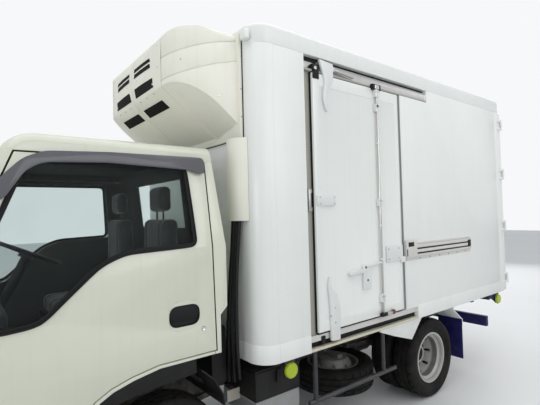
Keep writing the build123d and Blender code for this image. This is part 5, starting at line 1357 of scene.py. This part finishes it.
def mudguards():
    """Front guards from the CAD, and the rear ones as arch sheets, lamp brackets and rubber flaps."""
    front = []
    for part in loose_parts("mudguards", "mudguard_part"):
        if spread_of(part)[2][0] > 0:
            front.append(part)
        else:
            bpy.data.objects.remove(part)
    group(front, "mudguards_front", 0.002, "chassis", "plastic", "mudguards")
    line = [
        (-1.318, 0.7538), (-1.330, 0.7538), (-1.545, 0.596), (-1.545, 0.540), (-1.537, 0.540), (-1.537, 0.592)
    ]
    sheet = soften(add_plate("arch_sheet", line, 0.640, 0.890), 0.0015)
    bracket = add_plate("lamp_bracket", [(-2.12, 0.7535), (-2.42, 0.7535), (-2.42, 0.600)], 0.850, 0.857)
    dress(both_sides(soften(bracket, 0.0012), "marker_brackets"), "chassis", "flap")
    dress(both_sides(sheet, "mudguards_sheets"), "chassis", "panel")
    flap = add_block("flap", (-1.5365, 0.642, 0.212), (-1.529, 0.888, 0.600))
    sink(flap, FACES_BACK, 0.018, 0.0015)
    sink(flap, FACES_FRONT, 0.018, 0.0015)
    strip = add_block("flap_strip", (-1.548, 0.642, 0.560), (-1.5385, 0.888, 0.580))
    flap = soften(join([flap, strip], "flap_left"), 0.0015)
    dress(both_sides(flap, "mudguards_flaps"), "chassis", "flap")


def battery_box():
    """Ribbed black cover with its lid and latch, over a grey tray."""
    cover = add_block("battery_cover", (0.494, 0.350, 0.470), (0.876, 0.754, 0.670))
    sink(cover, FACES_LEFT, 0.022, 0.006)
    sink(cover, faces_ends, 0.022, 0.006)
    lid = add_block("battery_lid", (0.491, 0.350, 0.640), (0.879, 0.757, 0.655))
    latch = add_block("battery_latch", (0.665, 0.750, 0.560), (0.705, 0.766, 0.650))
    parts = [soften(cover, 0.008), soften(lid, 0.004), soften(latch, 0.003)]
    dress(join(parts, "battery_box_cover"), "chassis", "plastic", "battery_box")
    tray = add_block("battery_tray", (0.498, 0.350, 0.350), (0.872, 0.750, 0.470))
    sink(tray, FACES_LEFT, 0.015, 0.008)
    sink(tray, faces_ends, 0.015, 0.008)
    dress(soften(tray, 0.006), "chassis", "grey", "battery_box")


def blank_plate():
    """The blank plate by the battery box, on its holder."""
    plate = add_block("blank_plate", (0.868, 0.556, 0.440), (0.968, 0.562, 0.515))
    sink(plate, FACES_LEFT, 0.004, 0.001)
    holder = add_block("plate_holder", (0.905, 0.470, 0.505), (0.930, 0.556, 0.520))
    dress(soften(plate, 0.0015), "chassis", "blank")
    dress(soften(holder, 0.002), "chassis", "frame")


def tank_fittings():
    """Two straps round the fuel tank, its filler neck and its cap."""
    straps = []
    for x in (-0.220, 0.180):
        back, front = x - 0.02, x + 0.02
        for y in (-0.7515, -0.3885):
            straps.append(add_block("strap", (back, y - 0.0015, 0.372), (front, y + 0.0015, 0.600)))
        for low, high in ((0.3275, 0.3300), (0.6400, 0.6425)):
            straps.append(add_block("strap", (back, -0.708, low), (front, -0.432, high)))
    group(straps, "tank_straps", 0.001, "chassis", "frame")
    neck = add_rod("tank_neck", (-0.02, -0.700, 0.610), (-0.02, -0.752, 0.668), 0.030, 32)
    cap = add_rod("tank_cap", (-0.02, -0.748, 0.664), (-0.02, -0.768, 0.686), 0.040, 32, 0.036)
    sink(cap, lambda place, normal: normal.z > 0.5 and normal.y < -0.5, 0.008, 0.003)
    group([neck, cap], "tank_filler", 0.003, "chassis", "plastic")


class TRUCK_OT_underside(bpy.types.Operator):
    """White arch sheets, navy flaps, battery box, blank plate and tank fittings"""

    bl_idname = "truck.underside"
    bl_label = "Underside pieces"

    def execute(self, context):
        mudguards()
        split_node(
            "guard_bars",
            (
                ("flap", lambda low, high, middle: high[0] < -2.3 and high[2] < 0.46),
                ("bar", lambda low, high, middle: True),
            ),
            0.0025,
        )
        battery_box()
        blank_plate()
        tank_fittings()
        return {"FINISHED"}


SKIRT_LOW, SKIRT_HIGH = 0.7545, 0.870
SKIRT_IN, SKIRT_OUT = 0.9198, 0.9230


def on_front_skirt(place, normal):
    """A test for the outer faces of the front wall and its round corners, ahead of the side walls."""
    off_curve = math.hypot(abs(place.y) - 0.786, place.x - 0.800) < 0.128 and place.x < 0.93
    inward = normal.x < -0.05 or normal.y * place.y < -0.001
    return not (abs(normal.z) > 0.3 or inward or off_curve or place.x < 0.8)


class TRUCK_OT_skirts(bpy.types.Operator):
    """Raised skirts along the foot of the body, and the lugs at its front corners"""

    bl_idname = "truck.skirts"
    bl_label = "Body skirts"

    def execute(self, context):
        parts = [
            add_block("skirt", (0.5335, SKIRT_IN, SKIRT_LOW), (0.7995, SKIRT_OUT, SKIRT_HIGH)),
            add_block("skirt", (-2.3590, SKIRT_IN, SKIRT_LOW), (-0.7295, SKIRT_OUT, SKIRT_HIGH)),
            add_block("skirt", (-2.3590, -SKIRT_OUT, SKIRT_LOW), (0.7995, -SKIRT_IN, SKIRT_HIGH)),
        ]
        front = keep_faces(copy_node("box_front_wall", "front_skirt"), on_front_skirt)
        with editing(front):
            bpy.ops.mesh.bisect(plane_co=(0.0, 0.0, SKIRT_HIGH), plane_no=(0.0, 0.0, 1.0), clear_outer=True)
        parts.append(modify(front, "SOLIDIFY", thickness=0.003, offset=1.0))
        dress(join([soften(part, 0.0012) for part in parts], "body_skirts"), "chassis", "panel")
        lugs = []
        for side in SIDES:
            lug = side_block("corner_lug", side, (0.930, 0.968), (0.800, 0.862), (2.772, 2.838))
            lugs.append(soften(lug, 0.012, 3))
        dress(join(lugs, "corner_lugs"), "chassis", "panel")
        return {"FINISHED"}


def grille():
    """Dark bars and ribs of the grille."""
    bars = []
    for z in (0.940, 0.985, 1.030, 1.075):
        bars.append(add_block("grille_bar", (2.508, -0.4797, z - 0.0118), (2.518, 0.4797, z + 0.0118)))
        bars.append(add_block("grille_rib", (2.512, -0.4790, z - 0.002), (2.526, 0.4790, z + 0.002)))
    group(bars, "grille_bars", 0.0015, "cab", "plastic")


def front_lamps():
    """Clear lenses over bright bowls with a bulb in each, and amber indicators."""
    lens = keep_faces(copy_node("headlamps", "headlamp_lenses"), lambda place, normal: normal.x >= 0.35)
    modify(lens, "SOLIDIFY", thickness=0.003, offset=-1.0)
    dress(soften(lens, 0.0008), "cab", "lens", "headlamps")
    heights = (0.7015, 0.8785)
    bowls, ambers = [], []
    for side in SIDES:
        bowl = side_block("reflector", side, (2.487, 2.519), (0.5615, 0.750), heights)
        bowls.append(soften(sink(bowl, FACES_FRONT, 0.010, 0.024), 0.006, 3))
        bulb = add_rod("bulb", (2.494, side * 0.655, 0.790), (2.516, side * 0.655, 0.790), 0.030, 32, 0.026)
        bowls.append(soften(sink(bulb, FACES_FRONT, 0.006, 0.008), 0.002))
        amber = side_block("indicator", side, (2.487, 2.512), (0.752, 0.7985), heights)
        ambers.append(soften(amber, 0.003))
    dress(join(bowls, "headlamp_bowls"), "cab", "mirror")
    dress(join(ambers, "indicators"), "cab", "amber")


def wipers():
    """Two wipers: each a hub on the front panel, an arm, and a blade that lies just off the glass."""
    parts = []
    panel, glass = bpy.data.objects["cab_front_panel_panel"], NODES["cab_glass"]
    back = (-1, 0, 0)
    for y in (0.02, 0.60):
        foot = meet(panel, (2.7, y, 1.262), back)[0]
        ends = [meet(glass, (2.7, y - across, up), back) for across, up in ((0.17, 1.345), (0.56, 1.500))]
        tip, root = (place + normal * 0.009 for place, normal in reversed(ends))
        proud = Vector((0.012, 0, 0))
        parts.append(add_rod("wiper_blade", root, tip, 0.006, 10))
        parts.append(add_rod("wiper_arm", foot + proud, (tip + root) / 2 + proud, 0.006, 12, 0.004))
        behind, ahead = foot - Vector((0.004, 0, 0)), foot + Vector((0.020, 0, 0))
        parts.append(add_rod("wiper_hub", behind, ahead, 0.015, 20))
    group(parts, "wipers", 0.001, "cab", "plastic")


def mirror_glasses():
    """A bright pane in the back of each mirror."""
    panes = [
        side_block("mirror_glass", side, (2.4675, 2.4710), (0.907, 1.053), (1.362, 1.638)) for side in SIDES
    ]
    dress(join([soften(pane, 0.0012) for pane in panes], "mirror_glasses"), "cab", "mirror")


class TRUCK_OT_front_end(bpy.types.Operator):
    """Grille bars, lamps, wipers and mirror glasses"""

    bl_idname = "truck.front_end"
    bl_label = "Front details"

    def execute(self, context):
        grille()
        front_lamps()
        wipers()
        mirror_glasses()
        return {"FINISHED"}


def rear_door_fittings():
    """Rod with its handle, seals and rod keeps of the rear doors."""
    rod = add_rod("lock_rod", (-2.541, 0.090, 0.776), (-2.541, 0.090, 2.734), 0.0135, 24)
    grip = add_block("grip", (-2.5495, 0.079, 1.134), (-2.533, 0.361, 1.166))
    soften(sink(grip, FACES_BACK, 0.006, 0.002), 0.004)
    metal = join([soften(rod, 0.001), grip], "rear_door_left_rods")
    seals = [
        add_block("seal", (-2.5070, 0.0006, 0.770), (-2.4580, 0.0029, 2.740)),
        add_block("seal", (-2.4530, 0.0100, 0.768), (-2.4505, 0.9100, 0.778)),
        add_block("seal", (-2.4530, 0.0100, 2.732), (-2.4505, 0.9100, 2.742)),
    ]
    seal = soften(join(seals, "rear_door_left_seals"), 0.0008)
    keeps = []
    for z in (0.825, 1.500, 2.100, 2.685):
        keep = add_block("keep", (-2.5450, 0.064, z - 0.0265), (-2.5120, 0.116, z + 0.0265))
        keeps.append(soften(sink(keep, FACES_BACK, 0.008, 0.002), 0.004))
    keep = join(keeps, "rear_door_left_keeps")
    dress_pair(((metal, "plated"), (seal, "gasket"), (keep, "gear")), "rear_door")


# Parts beside the red lens of each rear lamp: piece, finish, and its span along Y
LAMP_PARTS = (("rear_indicators", "amber", (0.700, 0.7675)), ("reversing_lamps", "lens", (0.5125, 0.580)))


def rear_lamp_parts():
    """Amber and clear lenses of the rear lamps, and the dark housings behind them."""
    for name, finish, y in LAMP_PARTS:
        lenses = []
        for side in SIDES:
            part = side_block("lamp_part", side, (-2.4535, -2.4300), y, (0.6375, 0.7225))
            lenses.append(soften(sink(part, FACES_BACK, 0.005, -0.001), 0.003))
        dress(join(lenses, name), "chassis", finish)
    housings = [
        side_block("housing", side, (-2.4250, -2.4055), (0.508, 0.772), (0.6325, 0.7275)) for side in SIDES
    ]
    dress(join([soften(part, 0.005) for part in housings], "rear_lamp_housings"), "chassis", "plastic")


class TRUCK_OT_rear_end(bpy.types.Operator):
    """Rods, handles and gaskets of the rear doors, and the parts of the rear lamps"""

    bl_idname = "truck.rear_end"
    bl_label = "Rear details"

    def execute(self, context):
        rear_door_fittings()
        rear_lamp_parts()
        return {"FINISHED"}


PAD_PRESSURE = 4.0
PAD_STEPS = 20


def blow_out(obj, reach):
    """Let pressure move a pad's skin as cloth, each point by the reach at most."""
    scene = bpy.context.scene
    rest = [vertex.co.copy() for vertex in obj.data.vertices]
    bpy.ops.object.modifier_add(type="CLOTH")
    cloth = obj.modifiers[-1]
    cloth.settings.use_pressure = True
    cloth.settings.uniform_pressure_force = PAD_PRESSURE
    cloth.settings.effector_weights.gravity = 0.0
    for step in range(1, PAD_STEPS + 1):
        scene.frame_set(step)
    bpy.ops.object.modifier_apply(modifier=cloth.name)
    scene.frame_set(1)
    for vertex, start in zip(obj.data.vertices, rest):
        moved = vertex.co - start
        if moved.length > reach:
            vertex.co = start + moved * (reach / moved.length)


def puff(obj, reach, voxel=0.009):
    """Fill a closed form like a stuffed pad: a dense skin, blown out by cloth pressure, then smoothed."""
    modify(obj, "REMESH", mode="VOXEL", voxel_size=voxel)
    blow_out(obj, reach)
    modify(obj, "SUBSURF", levels=1, render_levels=1)
    bpy.ops.object.shade_smooth()
    return obj


SEAT_MIDDLE = 0.405
SEAT_CHANNELS = (0.300, 0.510)


def stitch(obj, depth=0.005, half=0.008):
    """Press the sewn channels into a pad, in lines across its width."""
    for vertex in obj.data.vertices:
        for line in SEAT_CHANNELS:
            gap = abs(vertex.co.y - line)
            if gap < 3 * half:
                pull = depth * math.exp(-((gap / half) ** 2))
                vertex.co -= vertex.normal * pull
    return obj


def pad(name, low, high, reach):
    """A stuffed pad that starts as a box with rounded edges."""
    return puff(soften(add_block(name, low, high), 0.030, 4), reach)


def seat_back():
    """The left seat's back, narrower towards its top, with its foot and a head rest on two stems."""
    back = add_block("back", (1.300, 0.183, 1.120), (1.390, 0.627, 1.670))
    for vertex in back.data.vertices:
        if vertex.co.z > 1.5:
            vertex.co.y = SEAT_MIDDLE + (vertex.co.y - SEAT_MIDDLE) * 0.80
    stitch(puff(soften(back, 0.030, 4), 0.009))
    parts = [back, pad("head", (1.308, 0.297, 1.712), (1.382, 0.513, 1.868), 0.008)]
    for y in (0.355, 0.455):
        parts.append(add_rod("head_stem", (1.345, y, 1.650), (1.345, y, 1.730), 0.006, 12))
    parts.append(soften(add_block("back_foot", (1.306, 0.200, 1.005), (1.392, 0.610, 1.125)), 0.012))
    return join(parts, "seat_back_left")


class TRUCK_OT_seats(bpy.types.Operator):
    """Padded seat cushions, backs and head rests"""

    bl_idname = "truck.seats"
    bl_label = "Seats"

    def execute(self, context):
        cushion = stitch(pad("cushion", (1.412, 0.183, 1.002), (1.870, 0.627, 1.108), 0.010))
        pads = (
            (both_sides(cushion, "seat_cushion_pads"), "seat_cushions"),
            (both_sides(seat_back(), "seat_back_pads"), "seat_backs"),
        )
        for piece, node in pads:
            dress(piece, NODES[node]["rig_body"], "cloth", node)
        return {"FINISHED"}


class TRUCK_OT_stage(bpy.types.Operator):
    """Set the floor, the lights and the camera"""

    bl_idname = "truck.stage"
    bl_label = "Stage"

    def execute(self, context):
        sizes = context.scene.truck_stage
        bpy.ops.object.select_all(action="DESELECT")
        bpy.ops.mesh.primitive_plane_add(size=sizes.floor_size, location=(0, 0, 0))
        floor = bpy.context.active_object
        floor.name = "floor"
        floor.data.materials.append(FINISHES["floor"])
        light_stage(context.scene)
        place_camera(context.scene, sizes)
        return {"FINISHED"}


# Lamps of the stage: name, place, aim, width and height, power
LAMPS = (
    ("overhead", (0.5, 1.5, 6.5), (0.0, 0.0, 0.0), (9.0, 6.0), 165.0),
    ("left_side", (-1.0, 8.5, 4.5), (-1.0, 0.0, 1.6), (8.0, 4.0), 150.0),
    ("front", (10.5, 3.2, 1.9), (1.0, 0.3, 2.3), (5.0, 2.6), 150.0),
    ("rear", (-10.0, -3.0, 3.5), (-1.0, 0.0, 1.5), (5.0, 3.0), 170.0),
)


def light_stage(scene):
    """A bright even room: a pale world, and wide lights overhead, on the left, ahead and behind."""
    world = bpy.data.worlds.new("room")
    scene.world = world
    world.use_nodes = True
    room = Tree(world.node_tree)
    output = world.node_tree.nodes["World Output"].inputs["Surface"]
    dim = room.add("ShaderNodeBackground", {"Color": (0.93, 0.96, 1.0, 1.0), "Strength": 0.62})
    bright = room.add("ShaderNodeBackground", {"Color": (0.93, 0.94, 0.95, 1.0), "Strength": 1.0})
    ray = room.tree.nodes.new("ShaderNodeLightPath").outputs
    mirrored = room.math("MAXIMUM", ray["Is Glossy Ray"], ray["Is Transmission Ray"])
    seen = room.math("MAXIMUM", ray["Is Camera Ray"], mirrored)
    room.feed(output, room.add("ShaderNodeMixShader", {0: seen, 1: dim, 2: bright}))
    for name, place, aim, size, power in LAMPS:
        lamp = bpy.data.lights.new(name, "AREA")
        lamp.shape = "RECTANGLE"
        lamp.size, lamp.size_y = size
        lamp.energy = power
        holder = bpy.data.objects.new(name, lamp)
        holder.location = place
        holder.rotation_euler = (Vector(aim) - Vector(place)).to_track_quat("-Z", "Y").to_euler()
        scene.collection.objects.link(holder)
    scene.view_settings.view_transform = "Standard"


def place_camera(scene, sizes):
    """Stand the camera where the photograph was taken."""
    turn, lift, roll = sizes.heading, sizes.lift, sizes.roll
    ahead = Vector((-math.sin(turn) * math.cos(lift), -math.cos(turn) * math.cos(lift), math.sin(lift)))
    level = Vector((-math.cos(turn), math.sin(turn), 0.0))
    above = level.cross(ahead)
    right = level * math.cos(roll) + above * math.sin(roll)
    up = above * math.cos(roll) - level * math.sin(roll)
    camera = bpy.data.objects.new("camera", bpy.data.cameras.new("camera"))
    camera.data.sensor_width = 36.0
    camera.data.lens = sizes.lens
    camera.data.clip_start = 0.05
    camera.data.clip_end = 200.0
    turned = Matrix((right, up, -ahead)).transposed().to_4x4()
    camera.matrix_world = Matrix.Translation(Vector(sizes.eye)) @ turned
    scene.collection.objects.link(camera)
    scene.camera = camera


OPERATORS = (
    TRUCK_OT_finishes, TRUCK_OT_rounded, TRUCK_OT_windows, TRUCK_OT_door_handles, TRUCK_OT_cab_trim,
    TRUCK_OT_side_door, TRUCK_OT_latches, TRUCK_OT_unit_details, TRUCK_OT_tyres, TRUCK_OT_hubs,
    TRUCK_OT_underside, TRUCK_OT_skirts, TRUCK_OT_front_end, TRUCK_OT_rear_end, TRUCK_OT_seats,
    TRUCK_OT_stage,
)


class TRUCK_PT_pieces(bpy.types.Panel):
    """Lists the truck's pieces"""

    bl_label = "Truck"
    bl_idname = "TRUCK_PT_pieces"
    bl_space_type = "VIEW_3D"
    bl_region_type = "UI"
    bl_category = "Truck"

    def draw(self, context):
        for operator in OPERATORS:
            self.layout.operator(operator.bl_idname)


GROUPS = {"truck_colours": TruckColours, "truck_stage": StageSizes}


def register():
    for group in GROUPS.values():
        bpy.utils.register_class(group)
    for name, group in GROUPS.items():
        setattr(bpy.types.Scene, name, PointerProperty(type=group))
    for operator in OPERATORS:
        bpy.utils.register_class(operator)
    bpy.utils.register_class(TRUCK_PT_pieces)


def unregister():
    bpy.utils.unregister_class(TRUCK_PT_pieces)
    for operator in reversed(OPERATORS):
        bpy.utils.unregister_class(operator)
    for name, group in GROUPS.items():
        delattr(bpy.types.Scene, name)
        bpy.utils.unregister_class(group)


def main():
    register()
    for operator in OPERATORS:
        family, action = operator.bl_idname.split(".")
        getattr(getattr(bpy.ops, family), action)()


if __name__ == "__main__":
    main()
